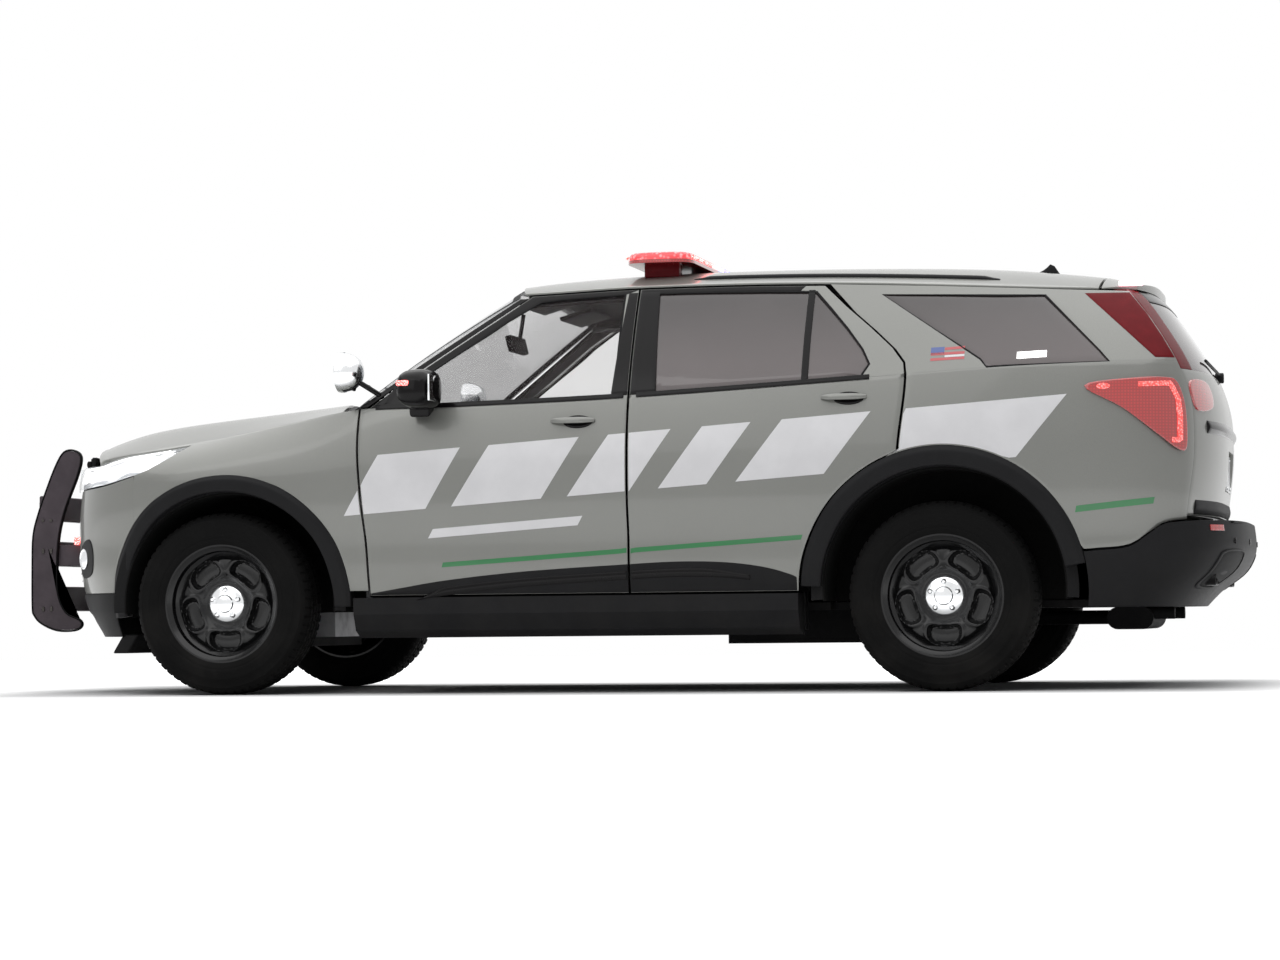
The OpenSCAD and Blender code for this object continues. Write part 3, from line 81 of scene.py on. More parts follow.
TAIL_FORM = [(300, 240), (393, 150), (470, 50), (546, 6), (600, 0), (676, 8)]
PANE_EDGE = [(1262, -312), (1303, -284), (1345, -292), (1500, -408), (1632, -528)]
QUARTER_PANE = [(196, 1294), (-262, 1612), (402, 1594), (678, 1303)]
CLADDING = [(640, 414), (800, 440), (971, 466), (1300, 498), (1732, 522), (1950, 531), (2142, 526),
    (2300, 506),
    (2420, 472), (2480, 440), (2560, 412)]


def clamp(v, lo=0.0, hi=1.0):
    return min(max(v, lo), hi)


def mix(a, b, t):
    if isinstance(a, (tuple, list, Vector)):
        return tuple(p + (q - p) * t for p, q in zip(a, b))
    return a + (b - a) * t


def moved(p, step):
    return tuple(c + d for c, d in zip(p, step))


def ease(t):
    c = clamp(t)
    return c * c * (3 - 2 * c)


def spread(n, a=0.0, b=1.0):
    return [a + (b - a) * i / n for i in range(n + 1)]


def curve(x, table, c=1):
    """Smooth curve through a table: column c as a function of column 0."""
    i = 0
    while i < len(table) - 2 and x >= table[i + 1][0]:
        i += 1

    def slope(k):
        a, b = table[max(k - 1, 0)], table[min(k + 1, len(table) - 1)]
        return (b[c] - a[c]) / (b[0] - a[0])

    h = table[i + 1][0] - table[i][0]
    u = clamp((x - table[i][0]) / h)
    return (table[i][c] * (2 * u**3 - 3 * u**2 + 1) + slope(i) * h * (u**3 - 2 * u**2 + u)
        + table[i + 1][c] * (3 * u**2 - 2 * u**3) + slope(i + 1) * h * (u**3 - u**2))


def nose_plan(x):
    return 1 if x >= NOSE_C else (1 - min((NOSE_C - x) / (NOSE_C - NOSE_X), 0.999)**2.5)**0.4


def tail_plan(x):
    return 1 if x <= TAIL_C else (1 - min((x - TAIL_C) / (GATE_X - TAIL_C), 0.999)**3.5)**(1 / 3.5)


def waist_w(x):
    return HALF_W * nose_plan(x) * tail_plan(x)


def belt_z(x):
    return curve(x, BELT, 1)


def belt_w(x):
    return waist_w(x) - curve(x, BELT, 2)


def rail_z(x):
    return curve(x, RAIL, 1)


def rail_w(x):
    return curve(x, RAIL, 2) * mix(1, tail_plan(x), 0.5)


def low_inset(z):
    s = clamp((WAIST - z) / (WAIST - DOOR_Z0), 0, 1.3)
    return 42 * s**2 + 12 * (1 - ease(abs(z - 640) / 150))


def side_w(x, z):
    """Half width of the body at a place and height."""
    if z <= WAIST:
        return waist_w(x) - low_inset(z)
    zb = belt_z(x)
    if z <= zb:
        return waist_w(x) - (waist_w(x) - belt_w(x)) * ((z - WAIST) / (zb - WAIST))**2.2
    u = (z - zb) / (rail_z(x) - zb)
    return mix(belt_w(x), rail_w(x), u) + 64 * u * (1 - u)


def on_side(p, out=0.0):
    return (p[0], side_w(p[0], p[1]) + out, p[1])


def nose_at(y):
    return NOSE_C - (NOSE_C - NOSE_X) * (1 - min(abs(y) / HALF_W, 0.999)**2.5)**0.4


def front_shut_x(z):
    return curve(z, FRONT_SHUT)


def arch_x(c, r, z, way):
    return c[0] + way * math.sqrt(max(r**2 - (z - c[1])**2, 1))


def arch_at(c, r, a):
    return (c[0] + r * math.cos(a), c[1] + r * math.sin(a))


def rear_shut_x(z):
    x = BASE + curve(z, REAR_SHUT)
    return x if z > REAR_ARCH[1] + TRIM_R[1] - 20 else min(x,
        arch_x(REAR_ARCH, TRIM_R[1] + HALF_GAP, z, -1))


def gate_mid(z):
    return BASE + curve(z, GATE)


def gate_edge_x(z):
    return gate_mid(z) - 100


def gate_at(z, s):
    w = side_w(gate_edge_x(z), z) - 12
    return (gate_mid(z) - 100 * abs(s)**3.2, s * w, z)


def pillar_z(t):
    return mix(1188, 1640, t)


def screen_x(t):
    return mix(600, 1236, t)


def lead_x(t):
    return screen_x(t) + 44


def hood_y(x):
    return belt_w(x) - 10


def hood_front_x(s):
    y = s * hood_y(-588)
    return nose_at(y) + 75 + (-588 - nose_at(hood_y(-588)) - 75) * s**2


def hood_at(t, s):
    x = mix(hood_front_x(s), mix(392, 520, s**2), t)
    zc = curve(x, HOOD)
    bulge = 7 * ease((abs(s) - 0.42) / 0.16) * (1 - ease((abs(s) - 0.58) / 0.3)) * ease(t / 0.25)
    return (x, s * hood_y(x), zc - (zc - belt_z(x)) * abs(s)**2.6 + bulge)


def screen_at(t, s):
    z, x, k = pillar_z(t), screen_x(t), abs(s)**2.4
    bow = 30 * t * (1 - t)
    return (mix(mix(472, 1152, t), x, k) - bow, s * side_w(x, z), mix(mix(1228, 1724, t), z, k) + bow)


def roof_w(x):
    return side_w(x, rail_z(x) + 24)


def roof_at(x, s):
    e = rail_z(x) + 24
    return (x, s * roof_w(x), e + (curve(x, ROOF) - e) * (1 - abs(s)**2.6))


def signed_power(v, e):
    return math.copysign(abs(v)**e, v)


def nose_point(a, z):
    reach = NOSE_C - NOSE_X - curve(z, NOSE_FORM)
    w = HALF_W - low_inset(z)
    return (NOSE_C - reach * abs(math.cos(a))**0.8, w * signed_power(math.sin(a), 0.8), z)


def nose_turn(x, z):
    return math.acos(((NOSE_C - x) / (NOSE_C - NOSE_X - curve(z, NOSE_FORM)))**1.25)


def bumper_end(z):
    x = arch_x(FRONT_ARCH, TRIM_R[0] + 0.4, z, -1) if z < FRONT_ARCH[1] + TRIM_R[0] - 20 else 0
    return nose_turn(min(x, -385) - 0.4, z)


def bumper_top(s):
    side = curve(nose_point(s * bumper_end(860), 860)[0], LAMP_LOW) - 4
    return mix(700, side, ease((abs(s) - 0.36) / 0.12))


def tail_point(a, z):
    reach = BUMPER_X - TAIL_C - curve(z, TAIL_FORM)
    w = HALF_W - low_inset(z)
    return (TAIL_C + reach * abs(math.cos(a))**(2 / 3.5), w * signed_power(math.sin(a), 2 / 3.5), z)


def tail_turn(x, z):
    return math.acos(((x - TAIL_C) / (BUMPER_X - TAIL_C - curve(z, TAIL_FORM)))**1.75)


def tail_end(z):
    return tail_turn(arch_x(REAR_ARCH, TRIM_R[1] + 0.4, z, 1) + 0.4, z)


def tail_top(s):
    return curve(tail_point(s * tail_end(560), 560)[0] - BASE, SEAM) - HALF_GAP


def coons(b, t, f, r):
    """Patch between four edges, each a function of one number."""
    def patch(u, v):
        def term(k):
            corner = mix(mix(b(0)[k], b(1)[k], u), mix(t(0)[k], t(1)[k], u), v)
            return mix(b(u)[k], t(u)[k], v) + mix(f(v)[k], r(v)[k], u) - corner
        return (term(0), term(1))
    return patch


def along(nodes, n):
    """Points along a list of nodes, n to each stretch."""
    out = [mix(a, b, k / n) for a, b in zip(nodes, nodes[1:]) for k in range(n)]
    return out + [nodes[-1]]


def rounded(nodes, n, closed=True):
    """Smooth curve through flat nodes."""
    out, m = [], len(nodes)
    for i in range(m if closed else m - 1):
        if closed:
            a, b, c, d = (nodes[(i + k) % m] for k in (-1, 0, 1, 2))
        else:
            a, b, c, d = (nodes[min(max(i + k, 0), m - 1)] for k in (-1, 0, 1, 2))
        for k in range(n):
            t = k / n
            out.append(tuple(0.5 * (2 * q + (r - p) * t + (2 * p - 5 * q + 4 * r - s) * t**2
                + (3 * q - p - 3 * r + s) * t**3) for p, q, r, s in zip(a, b, c, d)))
    return out if closed else out + [nodes[-1]]


# Modelling helpers
def clear_selection():
    if bpy.context.mode != "OBJECT":
        bpy.ops.object.mode_set(mode="OBJECT")
    bpy.ops.object.select_all(action="DESELECT")


def named(name):
    obj = bpy.context.object
    obj.name = name
    obj.data.name = name
    return obj


def metres(p, side=1):
    return ((p[0] - X_MID) / 1000, side * p[1] / 1000, p[2] / 1000)


def only(obj):
    clear_selection()
    obj.select_set(True)
    bpy.context.view_layer.objects.active = obj


def sheet(us, vs, outer, side=1):
    """A grid whose points are moved onto the surface outer(u, v)."""
    clear_selection()
    bpy.ops.mesh.primitive_grid_add(x_subdivisions=len(us) - 1, y_subdivisions=len(vs) - 1, size=1)
    obj = bpy.context.object
    flat = [c for v in vs for u in us for c in metres(outer(u, v), side)]
    obj.data.vertices.foreach_set("co", flat)
    return obj


def joined(name, objs):
    clear_selection()
    for o in objs:
        o.select_set(True)
    bpy.context.view_layer.objects.active = objs[0]
    if len(objs) > 1:
        bpy.ops.object.join()
    return named(name)


def welded(obj, limit=0.00004):
    only(obj)
    bpy.ops.object.mode_set(mode="EDIT")
    bpy.ops.mesh.select_all(action="SELECT")
    bpy.ops.mesh.remove_doubles(threshold=limit)
    bpy.ops.object.mode_set(mode="OBJECT")


def outward(obj):
    only(obj)
    bpy.ops.object.mode_set(mode="EDIT")
    bpy.ops.mesh.select_all(action="SELECT")
    bpy.ops.mesh.normals_make_consistent(inside=False)
    bpy.ops.object.mode_set(mode="OBJECT")


def smooth(obj, angle=38):
    only(obj)
    bpy.ops.object.shade_smooth_by_angle(angle=math.radians(angle))


def bevelled(obj, width, segments=2, angle=40):
    """Rounds the sharp edges, width in millimetres."""
    only(obj)
    mod = obj.modifiers.new("Round", "BEVEL")
    mod.width = width / 1000
    mod.segments = segments
    mod.limit_method = "ANGLE"
    mod.angle_limit = math.radians(angle)
    mod.use_clamp_overlap = True
    bpy.ops.object.modifier_apply(modifier="Round")
    smooth(obj)


def closed_form(name, us, vs, at, angle):
    """A sheet whose edges meet, welded into one closed piece."""
    obj = joined(name, [sheet(us, vs, at)])
    welded(obj)
    outward(obj)
    smooth(obj, angle)
    return obj


def shell(name, sheets, inward, side=1, bevel=2.0, segments=2, cutters=()):
    """A closed panel: sheets joined along their edges and extruded by inward(p)."""
    obj = joined(name, [sheet(us, vs, outer, side) for us, vs, outer in sheets])
    welded(obj)
    bpy.ops.object.mode_set(mode="EDIT")
    bpy.ops.mesh.select_all(action="SELECT")
    bpy.ops.mesh.extrude_region()
    bpy.ops.object.mode_set(mode="OBJECT")
    for v in obj.data.vertices:
        if v.select:
            p = (v.co.x * 1000 + X_MID, side * v.co.y * 1000, v.co.z * 1000)
            d = inward(p)
            v.co = metres((p[0] + d[0], p[1] + d[1], p[2] + d[2]), side)
    outward(obj)
    for cutter in cutters:
        only(obj)
        mod = obj.modifiers.new("Cut", "BOOLEAN")
        mod.operation = "DIFFERENCE"
        mod.solver = "EXACT"
        mod.object = cutter
        bpy.ops.object.modifier_apply(modifier="Cut")
        bpy.data.objects.remove(cutter, do_unlink=True)
    if bevel:
        bevelled(obj, bevel, segments)
    else:
        smooth(obj)
    return obj


def slab(name, us, vs, outer, inward, side=1, bevel=2.0, segments=2, cutters=()):
    return shell(name, [(us, vs, outer)], inward, side, bevel, segments, cutters)


def pane(name, loop, lift, inward, side=1, rings=(1, 0.8, 0.55, 0.3, 0), bevel=0.8, centre=None):
    """A panel that fills a closed loop of flat points, by rings that shrink to its middle."""
    if centre is None:
        centre = tuple((min(p[k] for p in loop) + max(p[k] for p in loop)) / 2 for k in (0, 1))
    n = len(loop)
    return slab(name, range(n + 1), rings, lambda i, r: lift(mix(centre, loop[i % n], r)), inward, side,
        bevel)


def block(name, centre, size, bevel=5.0, segments=3, turn=None, cuts=0, shape=None):
    """A cuboid with rounded edges, turned about its own middle."""
    clear_selection()
    bpy.ops.mesh.primitive_cube_add(size=1)
    obj = named(name)
    if cuts:
        bpy.ops.object.mode_set(mode="EDIT")
        bpy.ops.mesh.select_all(action="SELECT")
        bpy.ops.mesh.subdivide(number_cuts=cuts)
        bpy.ops.object.mode_set(mode="OBJECT")
    for v in obj.data.vertices:
        p = Vector([c * s / 1000 for c, s in zip(v.co, size)])
        v.co = p if shape is None else Vector(shape(p * 1000)) / 1000
    if turn:
        obj.data.transform(Matrix.Rotation(math.radians(turn[1]), 4, turn[0]))
    obj.data.transform(Matrix.Translation(metres(centre)))
    bevelled(obj, bevel, segments) if bevel else smooth(obj)
    return obj


def rod(name, p, q, r, sides=24, bevel=1.5, r2=None):
    """A round bar between two points."""
    clear_selection()
    a, b = Vector(metres(p)), Vector(metres(q))
    d = b - a
    if r2 is None:
        bpy.ops.mesh.primitive_cylinder_add(vertices=sides, radius=r / 1000, depth=d.length)
    else:
        bpy.ops.mesh.primitive_cone_add(vertices=sides, radius1=r / 1000, radius2=r2 / 1000,
            depth=d.length)
    obj = named(name)
    obj.data.transform(d.to_track_quat("Z", "Y").to_matrix().to_4x4())
    obj.data.transform(Matrix.Translation((a + b) / 2))
    if bevel:
        bevelled(obj, bevel, 2)
    else:
        smooth(obj)
    return obj


def lathe(name, profile, origin, axis, steps=96, closed=True, angle=30):
    """A turned piece: profile points of radius and height round an axis through the origin."""
    n = Vector(axis).normalized()
    e = n.orthogonal().normalized()
    f = n.cross(e)
    o = Vector(origin)
    ring = list(profile) + ([profile[0]] if closed else [])

    def spun(i, k):
        a = 2 * math.pi * i / steps
        r, h = ring[k]
        return o + (e * math.cos(a) + f * math.sin(a)) * r + n * h

    return closed_form(name, range(steps + 1), range(len(ring)), spun, angle)


def strip(name, path, width, lift, out, depth, side=1, bevel=1.0, across=3):
    """A narrow band along flat points, with a width upward."""
    pairs = [((x, z - width / 2), (x, z + width / 2)) for x, z in path]
    n = len(pairs)
    return slab(name, range(n), spread(across), lambda i, v: lift(mix(pairs[i][0], pairs[i][1], v), out),
        lambda p: (0, -depth, 0), side, bevel)


# Shader maths
class Field:
    """A number that varies over a surface; operators add Math nodes."""

    def __init__(self, shade, socket):
        self.shade = shade
        self.socket = socket

    def _math(self, kind, *args):
        node = self.shade.node("ShaderNodeMath", {"operation": kind}, dict(enumerate(args)))
        return Field(self.shade, node.outputs[0])

    def __add__(self, o):
        return self._math("ADD", self, o)

    def __radd__(self, o):
        return self._math("ADD", o, self)

    def __sub__(self, o):
        return self._math("SUBTRACT", self, o)

    def __rsub__(self, o):
        return self._math("SUBTRACT", o, self)

    def __mul__(self, o):
        return self._math("MULTIPLY", self, o)

    def __rmul__(self, o):
        return self._math("MULTIPLY", o, self)

    def __truediv__(self, o):
        return self._math("DIVIDE", self, o)

    def __rtruediv__(self, o):
        return self._math("DIVIDE", o, self)

    def __pow__(self, o):
        return self._math("POWER", self, o)

    def __abs__(self):
        return self._math("ABSOLUTE", self)

    def most(self, o):
        return self._math("MAXIMUM", self, o)

    def limited(self):
        node = self.shade.node("ShaderNodeClamp", {}, {"Value": self})
        return Field(self.shade, node.outputs[0])

    def step(self, lo, hi):
        """Smooth rise from 0 at lo to 1 at hi."""
        node = self.shade.node("ShaderNodeMapRange", {"interpolation_type": "SMOOTHSTEP"},
            {"Value": self, "From Min": lo, "From Max": hi})
        return Field(self.shade, node.outputs[0])


class Shade:
    """A material under construction."""

    def __init__(self, name, colour=(0.5, 0.5, 0.5), **constants):
        self.material = bpy.data.materials.new(name)
        self.material.use_nodes = True
        self.tree = self.material.node_tree
        self.bsdf = self.tree.nodes["Principled BSDF"]
        self.bsdf.inputs["Base Color"].default_value = (*colour, 1)
        for key, value in constants.items():
            self.bsdf.inputs[key.replace("_", " ")].default_value = value
        self._place = None

    def node(self, kind, settings=None, inputs=None):
        node = self.tree.nodes.new(kind)
        for key, value in (settings or {}).items():
            if key == "stops":
                ramp = node.color_ramp
                for i, (pos, c) in enumerate(value):
                    e = ramp.elements[i] if i < 2 else ramp.elements.new(pos)
                    e.position = pos
                    e.color = (*c, 1)
            else:
                setattr(node, key, value)
        for key, value in (inputs or {}).items():
            if isinstance(value, Field):
                value = value.socket
            if isinstance(value, bpy.types.NodeSocket):
                self.tree.links.new(value, node.inputs[key])
            else:
                node.inputs[key].default_value = value
        return node

    def place(self):
        """Object coordinates as a vector socket."""
        if self._place is None:
            self._place = self.node("ShaderNodeTexCoord").outputs["Object"]
        return self._place

    def axes(self):
        parts = self.node("ShaderNodeSeparateXYZ", {}, {0: self.place()})
        return [Field(self, s) for s in parts.outputs]

    def stretched(self, scale):
        node = self.node("ShaderNodeMapping", {}, {"Vector": self.place(), "Scale": scale})
        return node.outputs[0]

    def noise(self, scale, detail=3.0, vector=None, rough=0.55):
        node = self.node("ShaderNodeTexNoise", {}, {"Vector": vector or self.place(), "Scale": scale,
            "Detail": detail, "Roughness": rough})
        return Field(self, node.outputs[0])

    def cells(self, scale, vector=None):
        node = self.node("ShaderNodeTexVoronoi", {}, {"Vector": vector or self.place(), "Scale": scale})
        return Field(self, node.outputs["Distance"])

    def wave(self, scale, direction="X", distort=0.0, vector=None):
        node = self.node("ShaderNodeTexWave", {"bands_direction": direction},
            {"Vector": vector or self.place(), "Scale": scale, "Distortion": distort})
        return Field(self, node.outputs["Fac"])

    def blend(self, mask, a, b):
        node = self.node("ShaderNodeMix", {"data_type": "RGBA"},
            {0: mask, 6: (*a, 1) if isinstance(a, tuple) else a,
            7: (*b, 1) if isinstance(b, tuple) else b})
        return node.outputs[2]

    def feed(self, name, value):
        self.tree.links.new(value.socket if isinstance(value, Field) else value, self.bsdf.inputs[name])

    def bump(self, height, strength, distance):
        node = self.node("ShaderNodeBump", {},
            {"Height": height, "Strength": strength, "Distance": distance})
        self.feed("Normal", node.outputs[0])


def shaded(colour, factor):
    return tuple(c * factor for c in colour)


def road_dirt(shade):
    """Dust that grows towards the ground, as a mask."""
    z = shade.axes()[2]
    return (1 - z.step(0.15, 0.75)) * shade.noise(5, 6).step(0.35, 0.75)


def paint_finish(name, colour):
    s = Shade(name, colour, Metallic=0.25, Roughness=0.36, Coat_Weight=0.5, Coat_Roughness=0.05,
        Specular_IOR_Level=0.3)
    flake = s.cells(900)
    tone = s.noise(2.2, 2)
    dirt = road_dirt(s)
    base = s.blend(flake.step(0.15, 0.7), shaded(colour, 1.1), shaded(colour, 0.9))
    base = s.blend(tone.step(0.3, 0.7) * 0.35, base, shaded(colour, 1.06))
    s.feed("Base Color", s.blend(dirt * 0.2, base, (0.16, 0.15, 0.13)))
    s.feed("Roughness", 0.32 + tone * 0.06 + dirt * 0.2)
    s.bump(s.noise(160, 2), 0.04, 0.0004)
    return s.material


def grained_finish(name, colour, rough=0.55, grain=700, depth=0.0005):
    s = Shade(name, colour, Specular_IOR_Level=0.12)
    leather = s.cells(grain)
    tone = s.noise(9, 4)
    dirt = road_dirt(s)
    base = s.blend(tone.step(0.3, 0.8), shaded(colour, 0.85), shaded(colour, 1.2))
    s.feed("Base Color", s.blend(dirt * 0.25, base, (0.03, 0.028, 0.026)))
    s.feed("Roughness", rough + tone * 0.12 - 0.06)
    s.bump(leather + s.noise(grain * 0.6, 2) * 0.5, 0.3, depth)
    return s.material


def gloss_finish(name, colour, rough=0.12, coat=0.6, shine=0.3):
    s = Shade(name, colour, Specular_IOR_Level=shine, Coat_Weight=coat, Coat_Roughness=0.05)
    smear = s.noise(24, 5)
    fine = s.noise(220, 2)
    s.feed("Base Color", s.blend(smear.step(0.35, 0.75), shaded(colour, 0.92), shaded(colour, 1.08)))
    s.feed("Roughness", rough + smear * 0.08 + fine * 0.03)
    s.bump(s.noise(90, 2), 0.03, 0.0004)
    return s.material


def metal_finish(name, colour, rough=0.3, wear=0.15, grain=0.0):
    s = Shade(name, colour, Metallic=1.0)
    stain = s.noise(18, 6)
    brushed = s.noise(240, 3, s.stretched((1, 14, 1)))
    s.feed("Base Color", s.blend(stain.step(0.4, 0.8) * wear * 3, shaded(colour, 1.0),
        shaded(colour, 0.55)))
    s.feed("Roughness", rough + stain * wear + brushed * 0.08)
    s.bump(brushed * grain + s.noise(60, 4) * 0.2, 0.12, 0.0006)
    return s.material


def glass_finish(name, colour, alpha):
    s = Shade(name, colour, Roughness=0.02, Specular_IOR_Level=0.4, Coat_Weight=0.0)
    film = s.noise(3, 4)
    s.feed("Base Color", s.blend(film.step(0.3, 0.75), shaded(colour, 0.9), shaded(colour, 1.12)))
    s.feed("Alpha", alpha + film * 0.05)
    s.feed("Roughness", 0.015 + s.noise(40, 5).step(0.5, 0.9) * 0.03)
    return s.material


def shaded_privacy_finish(name, colour):
    """Dark tinted glass, with painted shade that darkens it towards its upper edge."""
    s = Shade(name, colour, Specular_IOR_Level=0.4, Coat_Weight=0.25, Coat_Roughness=0.02)
    film = s.noise(3, 4)
    # Painted shade: the tint falls to under half its colour towards the top of the glass
    rise = s.axes()[2].step(1.25, 1.66)
    tint = s.blend(rise, shaded(colour, 1.25), shaded(colour, 0.42))
    s.feed("Base Color", s.blend(film.step(0.3, 0.75) * 0.3, tint, shaded(colour, 0.8)))
    s.feed("Alpha", 0.93 + film * 0.05)
    s.feed("Roughness", 0.02 + s.noise(40, 5).step(0.5, 0.9) * 0.03)
    return s.material


def lens_finish(name, colour, alpha=1.0, pitch=260):
    s = Shade(name, colour, Roughness=0.06, Coat_Weight=1.0, Coat_Roughness=0.03, Specular_IOR_Level=0.6)
    ribs = s.wave(pitch / 10, "X") * s.wave(pitch / 10, "Z")
    s.feed("Base Color", s.blend(ribs, shaded(colour, 0.7), shaded(colour, 1.1)))
    s.feed("Roughness", 0.05 + s.noise(30, 4) * 0.05)
    if alpha < 1:
        s.feed("Alpha", alpha + ribs * 0.06)
    s.bump(ribs, 0.15, 0.0006)
    return s.material


def lit_finish(name, colour, strength, pitch=240):
    """A lamp that is switched on, with bright chips behind its lens."""
    s = Shade(name, shaded(colour, 0.8), Roughness=0.2, Emission_Strength=strength)
    chips = (1 - s.cells(pitch).step(0.1, 0.6))
    s.feed("Emission Color", s.blend(chips, shaded(colour, 0.55),
        tuple(min(1.0, c + 0.35) for c in colour)))
    s.feed("Roughness", 0.15 + chips * 0.1)
    return s.material


def tyre_finish(name, colour):
    s = Shade(name, colour, Specular_IOR_Level=0.07)
    dust = s.noise(14, 6)
    fine = s.noise(420, 3)
    dirt = road_dirt(s)
    base = s.blend(dust.step(0.4, 0.8), shaded(colour, 0.8), shaded(colour, 1.3))
    s.feed("Base Color", s.blend(dirt * 0.3, base, (0.03, 0.028, 0.026)))
    s.feed("Roughness", 0.62 + dust * 0.2)
    s.bump(fine + dust * 0.5, 0.25, 0.0006)
    return s.material


def woven_finish(name, colour, scale=420):
    s = Shade(name, colour, Sheen_Weight=0.25, Sheen_Roughness=0.5, Specular_IOR_Level=0.25)
    warp = s.wave(scale / 6, "X", 0.6)
    weft = s.wave(scale / 6, "Z", 0.6)
    cross = s.wave(scale / 6, "Y", 0.6)
    weave = warp * weft + cross * 0.5
    s.feed("Base Color", s.blend(weave.limited(), shaded(colour, 0.7), shaded(colour, 1.35)))
    s.feed("Roughness", 0.8 + s.noise(30, 4) * 0.15)
    s.bump(weave, 0.4, 0.0008)
    return s.material


def film_finish(name, colour, rough=0.3):
    s = Shade(name, colour, Coat_Weight=0.5, Coat_Roughness=0.08)
    tone = s.noise(6, 4)
    s.feed("Base Color", s.blend(tone.step(0.3, 0.75), shaded(colour, 0.94), shaded(colour, 1.03)))
    s.feed("Roughness", rough + tone * 0.08)
    s.bump(s.noise(180, 2), 0.03, 0.0003)
    return s.material


# Settings that a user would change
def colour_setting(name, description, default):
    return bpy.props.FloatVectorProperty(name=name, description=description, default=default,
        subtype="COLOR",
        size=3, min=0, max=1)


class FinishSettings(bpy.types.PropertyGroup):
    """Colours of the vehicle's finishes."""
    body: colour_setting("Body paint", "Colour of the painted panels", (0.205, 0.208, 0.193))
    trim: colour_setting("Black trim", "Colour of the moulded trims", (0.009, 0.009, 0.0098))
    tint: colour_setting("Window tint", "Colour of the window glass", (0.1, 0.082, 0.082))
    stripe: colour_setting("Pin stripe", "Colour of the side stripe", (0.0, 0.16, 0.035))
    marking: colour_setting("Marking", "Colour of the reflective blocks", (0.74, 0.735, 0.75))
    guard: colour_setting("Push bumper", "Colour of the push bumper", (0.075, 0.062, 0.07))


class PanelSettings(bpy.types.PropertyGroup):
    """Sizes of the body's panels."""
    round_mm: bpy.props.FloatProperty(name="Edge round",
        description="Rounding of panel edges in millimetres",
        default=2.2, min=0.5, max=5)
    skin_mm: bpy.props.FloatProperty(name="Panel depth",
        description="Depth of a fixed panel in millimetres",
        default=18.0, min=10, max=22)
    film_mm: bpy.props.FloatProperty(name="Marking depth",
        description="Depth of stripes and blocks in millimetres",
        default=0.7, min=0.3, max=1.5)


class WheelSettings(bpy.types.PropertyGroup):
    """Sizes of the wheels and tyres."""
    pitches: bpy.props.IntProperty(name="Tread pitches", description="Tread blocks round a tyre",
        default=64,
        min=40, max=90)
    groove_mm: bpy.props.FloatProperty(name="Groove depth",
        description="Depth of the tread in millimetres",
        default=7.0, min=3, max=9)
    pockets: bpy.props.IntProperty(name="Wheel pockets", description="Oval pockets in a wheel disc",
        default=5,
        min=3, max=8)


class LampSettings(bpy.types.PropertyGroup):
    """Brightness of the lamps that are switched on."""
    head: bpy.props.FloatProperty(name="Headlamps", description="Strength of the headlamps", default=3.0,
        min=0)
    beacon: bpy.props.FloatProperty(name="Beacons", description="Strength of the warning lamps",
        default=5.0, min=0)
    tail: bpy.props.FloatProperty(name="Tail lamps", description="Strength of the tail lamps",
        default=1.1, min=0)


FINISH = {}


